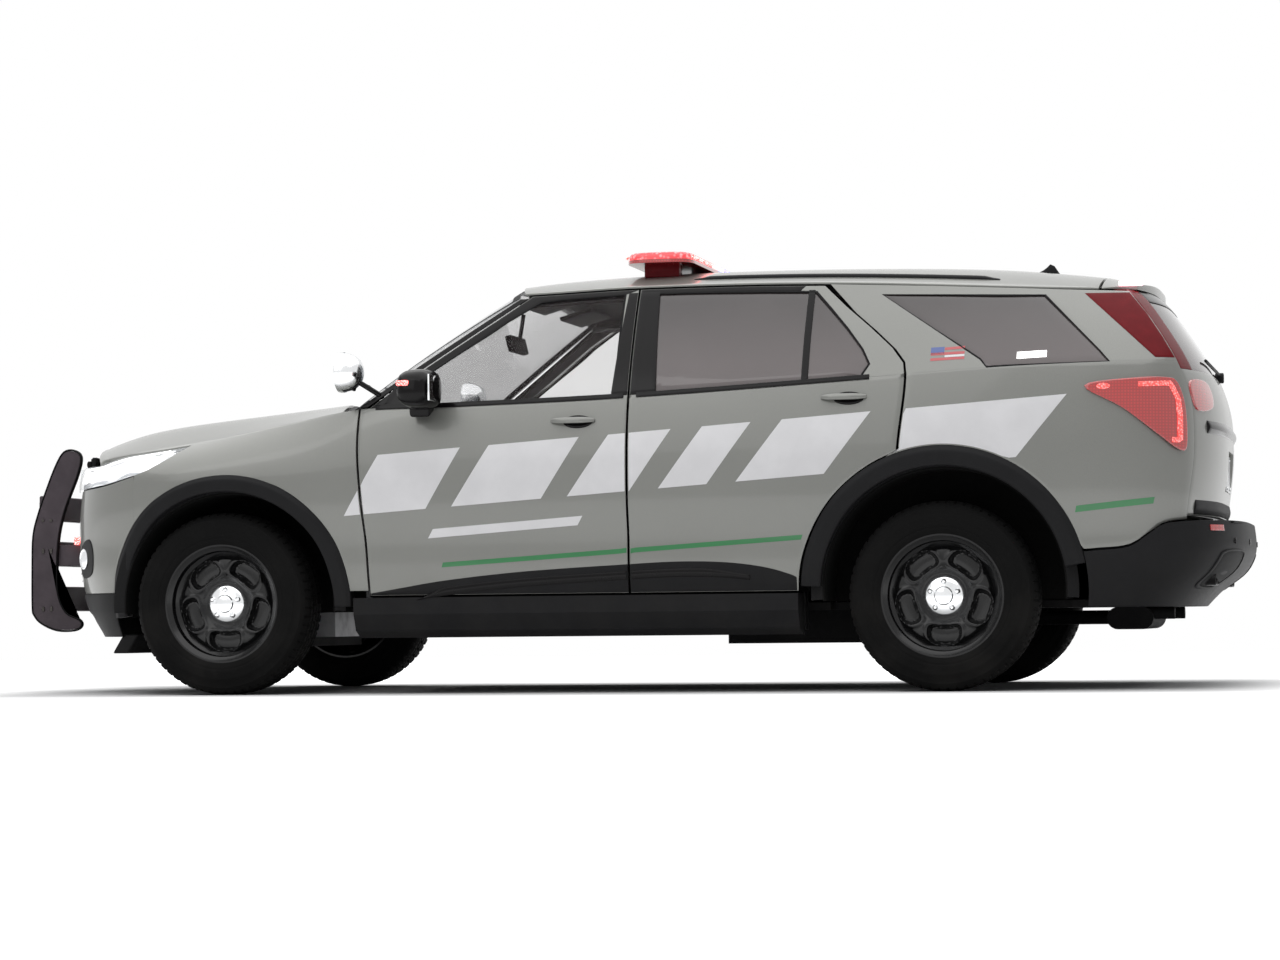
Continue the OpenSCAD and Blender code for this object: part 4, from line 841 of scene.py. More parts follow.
def finish(key):
    """The material of a finish, made once."""
    if key in FINISH:
        return FINISH[key]
    c = bpy.context.scene.suv_finish
    lamp = bpy.context.scene.suv_lamp
    makers = {
        "paint": lambda: paint_finish("body_paint", tuple(c.body)),
        "trim": lambda: grained_finish("black_trim", tuple(c.trim)),
        "gloss": lambda: gloss_finish("gloss_black", (0.004, 0.0034, 0.0038), 0.1, 0.0, 0.14),
        "post": lambda: gloss_finish("rear_post_gloss", (0.16, 0.01, 0.014), 0.2, 0.0, 0.06),
        # Painted reflection: gloss black posts whose dark red colour paints in a red reflection
        "seal": lambda: grained_finish("rubber_seal", (0.006, 0.006, 0.0065), 0.65, 900, 0.0003),
        "glass": lambda: glass_finish("window_glass", tuple(c.tint), 0.06),
        # Tinted glass with painted shade towards its top
        "dark_glass": lambda: shaded_privacy_finish("privacy_glass", tuple(c.tint)),
        "screen": lambda: glass_finish("screen_glass", (0.2, 0.22, 0.25), 0.3),
        "clear": lambda: glass_finish("lamp_cover", (0.8, 0.83, 0.86), 0.16),
        "red": lambda: lens_finish("red_lens", (0.62, 0.02, 0.02)),
        "deep_red": lambda: lens_finish("deep_red_lens", (0.16, 0.006, 0.008)),
        "blue": lambda: lens_finish("blue_lens", (0.03, 0.06, 0.6)),
        "amber": lambda: lens_finish("amber_lens", (0.75, 0.25, 0.03)),
        "bar_red": lambda: lit_finish("bar_red_cover", (1.0, 0.07, 0.08), 1.0, 60),
        "bar_blue": lambda: lit_finish("bar_blue_cover", (0.2, 0.2, 1.0), 0.5, 90),
        "lit_white": lambda: lit_finish("lit_white", (1.0, 0.98, 0.96), lamp.head),
        "lit_red": lambda: lit_finish("lit_red", (1.0, 0.06, 0.05), lamp.beacon),
        "lit_pink": lambda: lit_finish("lit_pink", (1.0, 0.42, 0.5), lamp.beacon),
        "lit_blue": lambda: lit_finish("lit_blue", (0.25, 0.2, 1.0), lamp.beacon * 0.6),
        "lit_tail": lambda: lit_finish("lit_tail", (1.0, 0.1, 0.09), lamp.tail, 120),
        "chrome": lambda: metal_finish("bright_chrome", (0.8, 0.81, 0.82), 0.1, 0.05),
        "bowl": lambda: metal_finish("lamp_bowl", (0.75, 0.76, 0.78), 0.16, 0.04),
        "wheel": lambda: gloss_finish("wheel_black", (0.003, 0.003, 0.0034), 0.2, 0.1, 0.3),
        "tyre": lambda: tyre_finish("tyre_rubber", (0.005, 0.005, 0.005)),
        "guard": lambda: grained_finish("push_bumper_coat", tuple(c.guard), 0.42, 500, 0.0004),
        "under": lambda: grained_finish("underbody_coat", (0.006, 0.006, 0.0065), 0.75, 260, 0.0012),
        "liner": lambda: grained_finish("liner_felt", (0.003, 0.003, 0.003), 0.9, 380, 0.0012),
        "alloy": lambda: metal_finish("cast_alloy", (0.45, 0.45, 0.46), 0.45, 0.2, 0.4),
        "steel": lambda: metal_finish("exhaust_steel", (0.06, 0.056, 0.053), 0.42, 0.25, 0.5),
        "cabin": lambda: grained_finish("cabin_plastic", (0.028, 0.028, 0.03), 0.6, 620, 0.0005),
        "headliner": lambda: woven_finish("headliner_cloth", (0.04, 0.033, 0.033), 300),
        "fabric": lambda: woven_finish("seat_fabric", (0.03, 0.03, 0.033)),
        "marking": lambda: film_finish("marking_film", tuple(c.marking)),
        "stripe": lambda: film_finish("stripe_film", tuple(c.stripe)),
        "plate": lambda: film_finish("blank_plate", (0.72, 0.73, 0.74), 0.4),
        "decal_red": lambda: film_finish("decal_red", (0.5, 0.05, 0.06)),
        "decal_blue": lambda: film_finish("decal_blue", (0.04, 0.08, 0.3)),
        "mirror": lambda: metal_finish("mirror_face", (0.85, 0.87, 0.88), 0.03, 0.02),
    }
    FINISH[key] = makers[key]()
    return FINISH[key]


def dress(obj, body, key, *nodes):
    """Gives a piece its finish and its body, and says which CAD nodes it stands for."""
    obj.data.materials.clear()
    obj.data.materials.append(finish(key))
    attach(obj, body)
    if nodes:
        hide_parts(*nodes)
    return obj


def coat_node(name, key):
    """A new finish for a CAD node that stays in view."""
    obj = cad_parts[name]
    obj.data.materials.clear()
    obj.data.materials.append(finish(key))


def sides(name, maker):
    """One piece of both sides' solids."""
    return joined(name, [maker(f"{name}_l", -1), maker(f"{name}_r", 1)])


# Outlines of the door and side windows
FRONT_U = [0, 0.017] + spread(4, 0.034, 0.078) + spread(34, 0.1, 0.936) + spread(4, 1 - 50 / 1140, 1)
REAR_U = spread(4, 0, 50 / 1132) + spread(26, 0.07, 0.82) + spread(8, 0.845, 1)
DOOR_V = spread(14, 0, 0.44) + spread(16, 0.46, 0.66) + spread(14, 0.69, 1)
QUARTER_U = spread(12, 0, 0.3) + spread(40, 0.31, 0.74) + spread(12, 0.76, 1)


def front_low(u, v):
    def x(z):
        return mix(front_shut_x(z) + HALF_GAP, SPLIT_X - HALF_GAP, u)
    z = mix(DOOR_Z0, belt_z(x(1000)), v)
    return (x(z), mix(DOOR_Z0, belt_z(x(z)), v))


def rear_low(u, v):
    def x(z):
        return mix(SPLIT_X + HALF_GAP, rear_shut_x(z) - HALF_GAP, u)
    z = mix(DOOR_Z0, belt_z(x(1000)), v)
    return (x(z), mix(DOOR_Z0, belt_z(x(z)), v))


def front_frame_nodes():
    xb = SPLIT_X - HALF_GAP
    nodes = [(front_low(0.034, 1), front_low(0.078, 1))]
    for t in (0.2, 0.4, 0.6, 0.8):
        nodes.append(((lead_x(t), pillar_z(t)), (lead_x(t) + 42, pillar_z(t) - 6)))
    x = lead_x(1) + 8
    nodes.append(((x, rail_z(x) + 8), (x + 48, rail_z(x) - 14)))
    for x in (1420, 1530, 1630):
        nodes.append(((x, rail_z(x) + 8), (x, rail_z(x) - 10)))
    nodes.append(((xb, rail_z(xb) + 8), (xb - 50, rail_z(xb) - 10)))
    for t in (0.75, 0.5, 0.25):
        z = mix(belt_z(xb), rail_z(xb), t)
        nodes.append(((xb, z), (xb - 50, z)))
    return nodes + [(front_low(1, 1), front_low(1 - 50 / 1140, 1))]


def rear_frame_nodes():
    xb = SPLIT_X + HALF_GAP
    nodes = [(rear_low(0, 1), rear_low(50 / 1132, 1))]
    for t in (0.25, 0.5, 0.75):
        z = mix(belt_z(xb), rail_z(xb), t)
        nodes.append(((xb, z), (xb + 50, z)))
    nodes.append(((xb, rail_z(xb) + 8), (xb + 50, rail_z(xb) - 10)))
    for x in (1950, 2120, 2290):
        nodes.append(((x, rail_z(x) + 8), (x, rail_z(x) - 10)))
    nodes.append(((rear_shut_x(1640) - 14, rail_z(2520) + 8), (BASE + curve(1632, PANE_EDGE), 1634)))
    for z in (1560, 1470, 1380, 1315):
        nodes.append(((rear_shut_x(z) - HALF_GAP, z), (BASE + curve(z, PANE_EDGE), z)))
    return nodes + [(rear_low(1, 1), rear_low(0.845, 1))]


def quarter_edges():
    def top(u):
        x = mix(rear_shut_x(1268) + HALF_GAP, gate_edge_x(1300), u)
        return (x, belt_z(x))

    def low(u):
        x = mix(rear_shut_x(940) + HALF_GAP, gate_edge_x(700), u)
        d, r = x - REAR_ARCH[0], TRIM_R[1] + 0.4
        z = REAR_ARCH[1] + math.sqrt(r**2 - d**2) if abs(d) < r else 0
        return (x, max(z, curve(x - BASE, SEAM) + HALF_GAP if d > 0 else 0))

    def front(v):
        z = mix(low(0)[1], top(0)[1], v)
        return (low(0)[0] if v == 0 else rear_shut_x(z) + HALF_GAP, z)

    def rear(v):
        z = mix(low(1)[1], top(1)[1], v)
        return (gate_edge_x(z), z)

    return low, top, front, rear


def quarter_nodes(top):
    def aft(p):
        return (BASE + p[0], p[1])
    a, b, c, d = QUARTER_PANE
    nodes = [(top(0), top(0.3))]
    for t in (0.08, 0.25, 0.5, 0.75):
        q = aft(mix(a, b, t))
        nodes.append(((rear_shut_x(q[1]) + HALF_GAP, q[1]), q))
    nodes.append(((rear_shut_x(1640) + HALF_GAP + 4, rail_z(2560) + 15.6), aft(b)))
    for t in (0.25, 0.5, 0.75):
        q = aft(mix(b, c, t))
        nodes.append(((q[0] + 40, rail_z(q[0] + 40) + 15.6), q))
    nodes.append(((BASE + 470, rail_z(BASE + 470) + 13.6), aft(c)))
    nodes.append(((gate_edge_x(1592) - 8, 1602), aft(mix(c, d, 0.2))))
    for t in (0.36, 0.6, 0.84):
        q = aft(mix(c, d, t))
        nodes.append(((gate_edge_x(q[1]), q[1]), q))
    return nodes + [(top(1), top(0.76))]


def frame_sheet(nodes, n, across, out=0.0):
    """A frame round a window, from its outer to its inner edge, as a sheet's three parts."""
    pairs = along([(*o, *i) for o, i in nodes], n)

    def at(i, k):
        o, q = pairs[i][:2], pairs[i][2:]
        return on_side(mix(o, q, k), out)
    return (range(len(pairs)), spread(across), at)


def window_loop(nodes, low, u0, u1, n=5):
    """The window's outline: the frame's inner edge and then the belt back to its start."""
    inner = along([i for _, i in nodes], n)
    return inner + [low(mix(u1, u0, k / 24), 1) for k in range(1, 24)]


def door_inward(p):
    u = ease((p[2] - belt_z(p[0]) + 90) / 100)
    return (-14, -mix(88, 38, u), 0)


def shrunk(loop, d):
    """A loop moved in by a distance, towards its middle."""
    c = tuple((min(p[k] for p in loop) + max(p[k] for p in loop)) / 2 for k in (0, 1))
    out = []
    for p in loop:
        r = math.hypot(c[0] - p[0], c[1] - p[1])
        out.append(mix(p, c, d / r))
    return out


def ring_band(name, loop, width, lift, out, depth, side, bevel=0.8):
    """A band inside a closed loop."""
    inner = shrunk(loop, width)
    n = len(loop)
    return slab(name, range(n + 1), spread(2), lambda i, v: lift(mix(loop[i % n], inner[i % n], v), out),
        lambda p: (0, -depth, 0), side, bevel)


class SUV_OT_stage(bpy.types.Operator):
    """Floor, soft lights, white surround and the camera."""
    bl_idname = "suv.stage"
    bl_label = "Stage"

    def execute(self, context):
        scene = context.scene
        clear_selection()
        bpy.ops.mesh.primitive_plane_add(size=44, location=(0, -10, 0))
        floor = named("studio_floor")
        bpy.ops.object.mode_set(mode="EDIT")
        bpy.ops.mesh.subdivide(number_cuts=6)
        bpy.ops.object.mode_set(mode="OBJECT")
        bpy.ops.object.transform_apply(location=True, rotation=False, scale=False)
        s = Shade("pale_floor", (0.8, 0.8, 0.8), Roughness=0.9, Specular_IOR_Level=0.0,
            Emission_Strength=1.0)
        ray = s.node("ShaderNodeLightPath").outputs
        seen = Field(s, ray["Is Camera Ray"]).most(Field(s, ray["Is Glossy Ray"])).most(Field(s,
            ray["Is Transmission Ray"]))
        s.feed("Base Color", s.blend(s.noise(0.7, 3) * 0.4, (0.8, 0.8, 0.8), (0.78, 0.78, 0.78)))
        x, y, _ = s.axes()
        ahead = (abs(x) - 2.4).most(0.0)
        beside = (abs(y) - 0.9).most(0.0)
        reach = ((ahead * ahead + beside * beside)**0.5).step(0.0, 1.1)
        s.feed("Emission Color", s.blend(seen * reach, (0.0, 0.0, 0.0), (1.0, 1.0, 1.0)))
        floor.data.materials.append(s.material)
        world = bpy.data.worlds.new("soft_surround")
        scene.world = world
        world.use_nodes = True
        nodes, links = world.node_tree.nodes, world.node_tree.links
        ray = nodes.new("ShaderNodeLightPath")
        seen = nodes.new("ShaderNodeMath")
        seen.operation = "MAXIMUM"
        links.new(ray.outputs["Is Camera Ray"], seen.inputs[0])
        links.new(ray.outputs["Is Transmission Ray"], seen.inputs[1])
        shiny = nodes.new("ShaderNodeMath")
        shiny.operation = "MAXIMUM"
        links.new(seen.outputs[0], shiny.inputs[0])
        links.new(ray.outputs["Is Glossy Ray"], shiny.inputs[1])
        white = nodes.new("ShaderNodeBackground")
        white.inputs["Color"].default_value = (1, 1, 1, 1)
        white.inputs["Strength"].default_value = 1.0
        fill = nodes["Background"]
        fill.inputs["Color"].default_value = (0.95, 0.97, 1.0, 1)
        fill.inputs["Strength"].default_value = 0.2
        choose = nodes.new("ShaderNodeMixShader")
        links.new(shiny.outputs[0], choose.inputs[0])
        links.new(fill.outputs[0], choose.inputs[1])
        links.new(white.outputs[0], choose.inputs[2])
        links.new(choose.outputs[0], nodes["World Output"].inputs[0])
        for name, at, aim, size, power in (
                ("top_light", (0.0, -1.0, 11.0), (0, -1.0, 0), 22.0, 2350),
                ("side_light", (-3.0, -9.0, 6.0), (0, 0, 0.8), 7.0, 140)):
            lamp = bpy.data.lights.new(name, "AREA")
            lamp.shape = "RECTANGLE"
            lamp.size = size
            lamp.size_y = size
            lamp.energy = power
            obj = bpy.data.objects.new(name, lamp)
            scene.collection.objects.link(obj)
            obj.location = at
            obj.rotation_euler = (Vector(aim) - Vector(at)).to_track_quat("-Z", "Y").to_euler()
        yaw, pitch, roll = -0.224, 0.040, -0.010
        ahead = Vector((math.sin(yaw) * math.cos(pitch), math.cos(yaw) * math.cos(pitch),
            math.sin(pitch)))
        right = Vector((math.cos(yaw), -math.sin(yaw), 0))
        up = right.cross(ahead)
        across = right * math.cos(roll) + up * math.sin(roll)
        upward = up * math.cos(roll) - right * math.sin(roll)
        lens = bpy.data.cameras.new("camera")
        lens.sensor_width = 36
        lens.lens = 3449.4 / 1280 * 36
        camera = bpy.data.objects.new("camera", lens)
        scene.collection.objects.link(camera)
        turn = Matrix((across, upward, -ahead)).transposed().to_4x4()
        camera.matrix_world = Matrix.Translation((4.907 - X_MID / 1000, -14.612, 0.304)) @ turn
        scene.camera = camera
        scene.view_settings.view_transform = "Standard"
        return {"FINISHED"}


class SUV_OT_shell(bpy.types.Operator):
    """Roof, fenders, rear side panels, cowl and the hidden structure."""
    bl_idname = "suv.shell"
    bl_label = "Body shell"

    def engine_bay(self):
        """Cover, air box, battery and coolant tank round the engine block."""
        cover = [block("engine_cover_plate", (-20, 0, 918), (520, 520, 44), 18, 4)]
        for k in range(-3, 4):
            cover.append(block(f"engine_cover_rib_{k}", (-20, k * 64, 942), (430, 22, 14), 6, 3))
        cover.append(lathe("engine_oil_cap", [(0, 0), (34, 0), (34, 20), (28, 26), (0, 26)],
            (200, -170, 938), (0, 0, 1), 32))
        dress(joined("engine_cover", cover), "body", "trim")
        air = [block("air_box_low", (-240, 405, 720), (280, 170, 120), 16, 4),
            block("air_box_lid", (-240, 405, 806), (292, 182, 54), 14, 4)]
        air.append(rod("air_duct", (-170, 330, 800), (-90, 190, 905), 42, 32, 3))
        for k in range(5):
            x, y, z = mix((-160, 312, 814), (-106, 218, 884), k / 4)
            air.append(rod(f"air_duct_ring_{k}", (x, y, z), (x + 7, y - 12, z + 9), 47, 32, 2))
        dress(joined("air_box", air), "body", "trim")
        cell = [block("battery_case", (380, 405, 745), (250, 170, 170), 8, 3),
            block("battery_lid", (380, 405, 838), (256, 176, 22), 6, 3)]
        cell += [lathe(f"battery_post_{k}", [(0, 0), (10, 0), (9, 18), (0, 18)], (380 + k * 85, 350, 848),
            (0, 0, 1), 24) for k in (-1, 1)]
        cell.append(rod("battery_strap", (380, 318, 852), (380, 492, 852), 6, 12, 1))
        dress(joined("battery", cell), "body", "trim")
        tank = [block("coolant_tank_body", (380, -405, 735), (230, 160, 150), 22, 4),
            block("coolant_tank_seam", (380, -405, 740), (240, 170, 8), 3, 2),
            lathe("coolant_cap", [(0, 0), (32, 0), (32, 24), (26, 30), (0, 30)], (430, -405, 808),
            (0, 0, 1), 32)]
        dress(joined("coolant_tank", tank), "body", "marking")

    def execute(self, context):
        size = context.scene.suv_panel
        for node in ("floor_pan", "front_frame", "front_suspension", "rear_suspension", "fuel_tank"):
            coat_node(node, "under")
        coat_node("cabin_frame", "trim")
        coat_node("wheel_liners", "liner")
        coat_node("engine", "alloy")
        self.engine_bay()
        coat_node("exhaust", "under")
        coat_node("sill_trims", "trim")
        coat_node("knuckle_left", "alloy")
        coat_node("knuckle_right", "alloy")
        t = size.round_mm

        def roof_start(s):
            return screen_at(1, s)[0] + 6 + 14 * abs(s)**4
        roof = slab("roof_panel", spread(56, -1, 1), spread(48),
            lambda s, v: roof_at(mix(roof_start(s), BASE + 610, v), s),
            lambda p: (0, 0, -mix(24, 8, abs(p[1] / roof_w(p[0]))**8)), 1, t)
        dress(roof, "body", "paint", "roof")

        def fender(name, side):
            r = TRIM_R[0] + 0.4
            a0, a1 = math.acos((-385 - 28) / r), math.asin((428 - 381) / r)

            def low(u):
                return arch_at(FRONT_ARCH, r, mix(a0, a1, u))

            def top(u):
                x = mix(-385, front_shut_x(1178) - HALF_GAP, u)
                return (x, curve(x, LAMP_LOW) - 0.4 if x < -165 else belt_z(x))

            def front(v):
                return (-385, mix(low(0)[1], top(0)[1], v))

            def rear(v):
                if v <= 0.08:
                    return mix(low(1), (front_shut_x(428) - HALF_GAP, 428), v / 0.08)
                z = mix(428, top(1)[1], (v - 0.08) / 0.92)
                return (front_shut_x(z) - HALF_GAP, z)
            patch = coons(low, top, front, rear)

            def inward(p):
                u = ease((p[2] - belt_z(p[0])) / 60 + 1)
                return (0, -mix(size.skin_mm, 3, u), -size.skin_mm * u)
            return slab(name, spread(60), spread(50), lambda u, v: on_side(patch(u, v)), inward, side, t)
        dress(sides("fender_panels", fender), "body", "paint", "fenders")

        low, top, front, rear = quarter_edges()
        patch = coons(low, top, front, rear)
        nodes = quarter_nodes(top)

        def quarter_inward(p):
            u = ease((p[0] - gate_edge_x(p[2])) / 160 + 1)
            return (-20 * ease((p[0] - TAIL_C) / 500), -mix(32, 5, u), 0)

        def quarter(name, side):
            return shell(name, [(QUARTER_U, spread(40), lambda u, v: on_side(patch(u, v))),
                frame_sheet(nodes, 6, 12)], quarter_inward, side, t)
        dress(sides("rear_side_panels", quarter), "body", "paint", "quarter_panels")
        loop = along([i for _, i in nodes], 5) + [top(mix(0.76, 0.3, k / 24)) for k in range(1, 24)]

        def glass(name, side):
            return pane(name, shrunk(loop, 1), lambda p: on_side(p, -5), lambda p: (0, -4, 0), side)
        dress(sides("rear_side_windows", glass), "body", "dark_glass", "quarter_glass")

        def seal(name, side):
            return ring_band(name, loop, 7, on_side, 0.8, 7, side)
        dress(sides("rear_side_window_seals", seal), "body", "seal")

        def rear_post(name, side):
            zs = [1316, 1400, 1500, 1596]
            edge = [((mix(3875, 3571, (z - 1316) / 290), z), (gate_edge_x(z) - 2, z)) for z in zs]
            pairs = along([(*a, *b) for a, b in edge], 8)
            return slab(name, range(len(pairs)), spread(8), lambda i,
                k: on_side(mix(pairs[i][:2], pairs[i][2:], k), 1.5),
                lambda p: (0, -5, 0), side, 1)
        # Gloss black covers, with the painted red reflection of the post finish
        dress(sides("rear_post_covers", rear_post), "body", "post")

        def ceiling(s, v):
            x = mix(1190 + 70 * abs(s)**3, BASE + 560, v)
            p = roof_at(x, s * 0.95)
            return (x, p[1], p[2] - 34 - 30 * ease((abs(s) - 0.8) / 0.2))
        dress(slab("headliner", spread(30, -1, 1), spread(30), ceiling, lambda p: (0, 0, -6), 1, 1),
            "body", "headliner")

        def post_seal(name, side):
            return slab(name, spread(4, SPLIT_X - 34, SPLIT_X + 34), spread(24), lambda x, v: on_side(
                (x, mix(460, rail_z(x) - 4, v)),
                -mix(104, 46, ease((mix(460, 1650, v) - belt_z(x) + 90) / 100))),
                lambda p: (0, -8, 0), side, 1)
        dress(sides("middle_post_seals", post_seal), "body", "seal")
        mirror = block("inner_mirror", (1030, 0, 1506), (30, 250, 72), 12, 3, ("Y", -14), 4)
        stem = rod("inner_mirror_stem", (1042, 0, 1520), (1062, 0, 1640), 9, 16, 2)
        dress(joined("inner_mirror", [mirror, stem]), "body", "seal")
        visors = [block(f"visor_{k}", (1262, k * 330, 1648), (150, 380, 18), 7, 3, ("Y", -16), 3)
            for k in (-1, 1)]
        dress(joined("sun_visors", visors), "body", "headliner")

        def cowl_at(v, s):
            a, b = hood_at(1, s), screen_at(0, s * 0.979)
            x = mix(a[0] + 18, b[0] - 0.4, v)
            return (x, s * (belt_w(x) - 3.6), mix(a[2] - 4, b[2] - 1, v) - 5 * math.sin(math.pi * v))
        cowl = slab("cowl_panel", spread(60, -1, 1), spread(8), lambda s, v: cowl_at(v, s),
            lambda p: (0, 0, -18), 1, 1.5)
        dress(cowl, "body", "trim", "cowl")
        slots = [block(f"cowl_slot_{k}", (452 + 12 * abs(k) * abs(k) / 18, k * 52, 1229 - abs(k) * 0.7),
            (26, 34, 6), 2)
            for k in range(-9, 10)]
        dress(joined("cowl_slots", slots), "body", "seal")
        screen = slab("windscreen_glass", spread(52, -1, 1), spread(26), lambda s,
            v: screen_at(v, s * 0.979),
            lambda p: (2.2, 0, -4.5), 1, 0.8)
        dress(screen, "body", "screen", "windscreen")

        def on_screen(s, v):
            return moved(screen_at(v, s), (-0.8, 0, 0.9))

        def film_depth(p):
            return (0.6, 0, -0.7)
        border = slab("windscreen_border", spread(60, -0.979, 0.979), spread(4, 0.0, 0.05),
            on_screen, film_depth, 1, 0)
        dress(border, "body", "seal")

        def edge(name, side):
            return slab(name, spread(3, 0.93, 0.979), spread(40), on_screen, film_depth, side, 0)
        dress(sides("windscreen_side_border", edge), "body", "seal")
        top_edge = slab("windscreen_top_border", spread(60, -0.979, 0.979), spread(4, 0.955, 1.0),
            on_screen, film_depth, 1, 0)
        dress(top_edge, "body", "seal")

        def pillar(name, side):
            return slab(name, spread(4), spread(40), lambda k,
                v: on_side((screen_x(v) + 34 * k, pillar_z(v)), 1.2),
                lambda p: (0, -10, 0), side, 1.5)
        dress(sides("front_pillar_covers", pillar), "body", "gloss")
        wipers = []
        for k in (-1, 1):
            base = screen_at(-0.02, 0.12 * k + 0.3)
            tip = screen_at(0.09, 0.2 * k - 0.42)
            a = (base[0] - 6, base[1], base[2] + 6)
            b = (tip[0] - 12, tip[1], tip[2] + 14)
            wipers.append(rod(f"wiper_arm_{k}", a, mix(a, b, 0.6), 6, 10, 1.5))
            wipers.append(rod(f"wiper_blade_{k}", mix(a, b, 0.22), mix(a, b, 1.25), 7, 8, 1.5))
        dress(joined("windscreen_wipers", wipers), "body", "trim")

        def rail(name, side):
            def at(i, v):
                x = mix(1960, 3230, i)
                p = roof_at(x, 0.86)
                h = 11 * ease(min(i, 1 - i) / 0.06)
                a = math.pi * v
                return (x, p[1] + 17 * math.cos(a),
                    p[2] + h * math.sin(a) - 2 + 3 * (1 - abs(math.cos(a))))
            return slab(name, spread(40), spread(8), at, lambda p: (0, 0, -6), side, 1)
        dress(sides("roof_rails", rail), "body", "trim")
        fin = slab("fin_aerial", spread(14), spread(12), lambda u, v: (
            mix(BASE + 215 + 110 * v, BASE + 400 - 34 * v, u),
            (1 - v**1.4) * 20 * math.sin(math.pi * clamp(u, 0.02, 0.98)) + 0.8,
            roof_at(mix(BASE + 215, BASE + 400, u), 0)[2] - 3 + v * 52 * ease(u * 1.7)),
            lambda p: (0, -2 * p[1], 0), 1, 0.6)
        dress(fin, "body", "trim", "roof_fin")
        return {"FINISHED"}


class SUV_OT_doors(bpy.types.Operator):
    """Four doors with their glass, seals, handles, cladding and inner trim."""
    bl_idname = "suv.doors"
    bl_label = "Doors"

    def execute(self, context):
        t = context.scene.suv_panel.round_mm
        front_nodes, rear_nodes = front_frame_nodes(), rear_frame_nodes()
        kinds = {
            "front": (FRONT_U, front_low, front_nodes, (0.078, 1 - 50 / 1140), (1523, 1106),
            (690, SPLIT_X - HALF_GAP)),
            "rear": (REAR_U, rear_low, rear_nodes, (50 / 1132, 0.845), (2640, 1176),
            (SPLIT_X + HALF_GAP, 2440)),
        }
        for tag, kind, side in (("fl", "front", -1), ("fr", "front", 1), ("rl", "rear", -1),
                ("rr", "rear", 1)):
            us, low, nodes, (u0, u1), grip, clad = kinds[kind]
            body = f"door_{tag}"
            sheets = [(us, DOOR_V, lambda u, v: on_side(low(u, v)))]
            sheets.append(frame_sheet(nodes, 6, 4 if kind == "front" else 8))
            skin = shell(f"{body}_skin", sheets, door_inward, side, t)
            dress(skin, body, "paint", body)
            loop = window_loop(nodes, low, u0, u1)
            glass = pane(f"{body}_glass", shrunk(loop, 1), lambda p: on_side(p, -5),
                lambda p: (-1, -4, 0), side)
            dress(glass, body, "glass" if kind == "front" else "dark_glass", f"glass_{tag}")
            dress(ring_band(f"{body}_seal", loop, 9, on_side, 1.0, 8, side), body, "seal")
            belt = [low(mix(u0 - 0.02, min(u1 + 0.03, 1), k / 40), 1) for k in range(41)]
            dress(strip(f"{body}_belt_trim", [(x, z + 3) for x, z in belt], 20, on_side, 4, 9, side),
                body, "gloss")
            lines = self.post_edges(kind)
            post = slab(f"{body}_post_cover", spread(6), spread(20), lambda u,
                v: self.on_post(lines, u, v), lambda p: (
                0, -6, 0), side, 1)
            dress(post, body, "gloss")
            dress(self.frame_cover(f"{body}_frame_cover", nodes, kind, side), body, "gloss")
            if kind == "rear":
                bar = slab(f"{body}_division_bar", spread(4, 2462, 2490), spread(18), lambda x,
                    v: on_side(
                    (x, mix(belt_z(x) + 2, rail_z(x) - 9, v)), 0.5), lambda p: (0, -14, 0), side, 2)
                dress(bar, body, "gloss")
            self.cladding(body, clad, side)
            self.handle(body, grip, side)
            self.inner_trim(body, low, side)
        return {"FINISHED"}

    def post_edges(self, kind):
        """Lower and upper ends of the black middle post's two edges."""
        if kind == "front":
            return (1675, 1706, SPLIT_X - HALF_GAP - 1)
        return (1863, 1838, SPLIT_X + HALF_GAP + 1)

    def on_post(self, lines, u, v):
        x = mix(mix(lines[0], lines[1], v), lines[2], u)
        return on_side((x, mix(belt_z(x) + 4, rail_z(x) - 4, v)), 1.6)

    def frame_cover(self, name, nodes, kind, side):
        """Black cover on the frame above the window, and down the front pillar."""
        part = nodes[:10] if kind == "front" else nodes[3:9]
        pairs = along([(*mix(o, i, 0.03), *i) for o, i in part], 6)
        if kind == "rear":
            pairs = pairs[:-2]
        return slab(name, range(len(pairs)), spread(3), lambda i,
            k: on_side(mix(pairs[i][:2], pairs[i][2:], k), 1.3),
            lambda p: (0, -3, 0), side, 0.8)

    def cladding(self, body, reach, side):
        x0, x1 = reach
        if x0 < 800:
            x0 = 655
        clad = slab(f"{body}_cladding", spread(50, x0, x1), spread(8), lambda x, v: on_side(
            (x, mix(DOOR_Z0 + 1, max(curve(x, CLADDING), DOOR_Z0 + 4), v)),
            6 * math.sin(math.pi * clamp(v, 0.08, 0.92))),
            lambda p: (0, -8, 0), side, 1.5)
        dress(clad, body, "trim")
        xa, xb = (850, x1 - 4) if x0 < 800 else (x0 + 4, 2250)
        slot = slab(f"{body}_cladding_rib", spread(50, xa, xb), spread(6), lambda x, v: on_side(
            (x, curve(x,
            CLADDING) - 62 + (34 * v) * ease((x - 830) / 160) * (1 - 0.35 * ease((x - 2050) / 200))),
            6 + 5 * math.sin(math.pi * clamp(v, 0.1, 0.9))), lambda p: (0, -8, 0), side, 2)
        dress(slot, body, "gloss")

    def handle(self, body, grip, side):
        x0, z0 = grip

        def cup(i, v):
            a = 2 * math.pi * i / 36
            x, z = x0 + 20 + 62 * v * math.cos(a), z0 + 27 * v * math.sin(a)
            return on_side((x, z), 0.9)
        pocket = slab(f"{body}_handle_pocket", range(37), [1, 0.7, 0.4, 0], cup, lambda p: (0, -3, 0),
            side, 0.6)
        dress(pocket, body, "gloss")

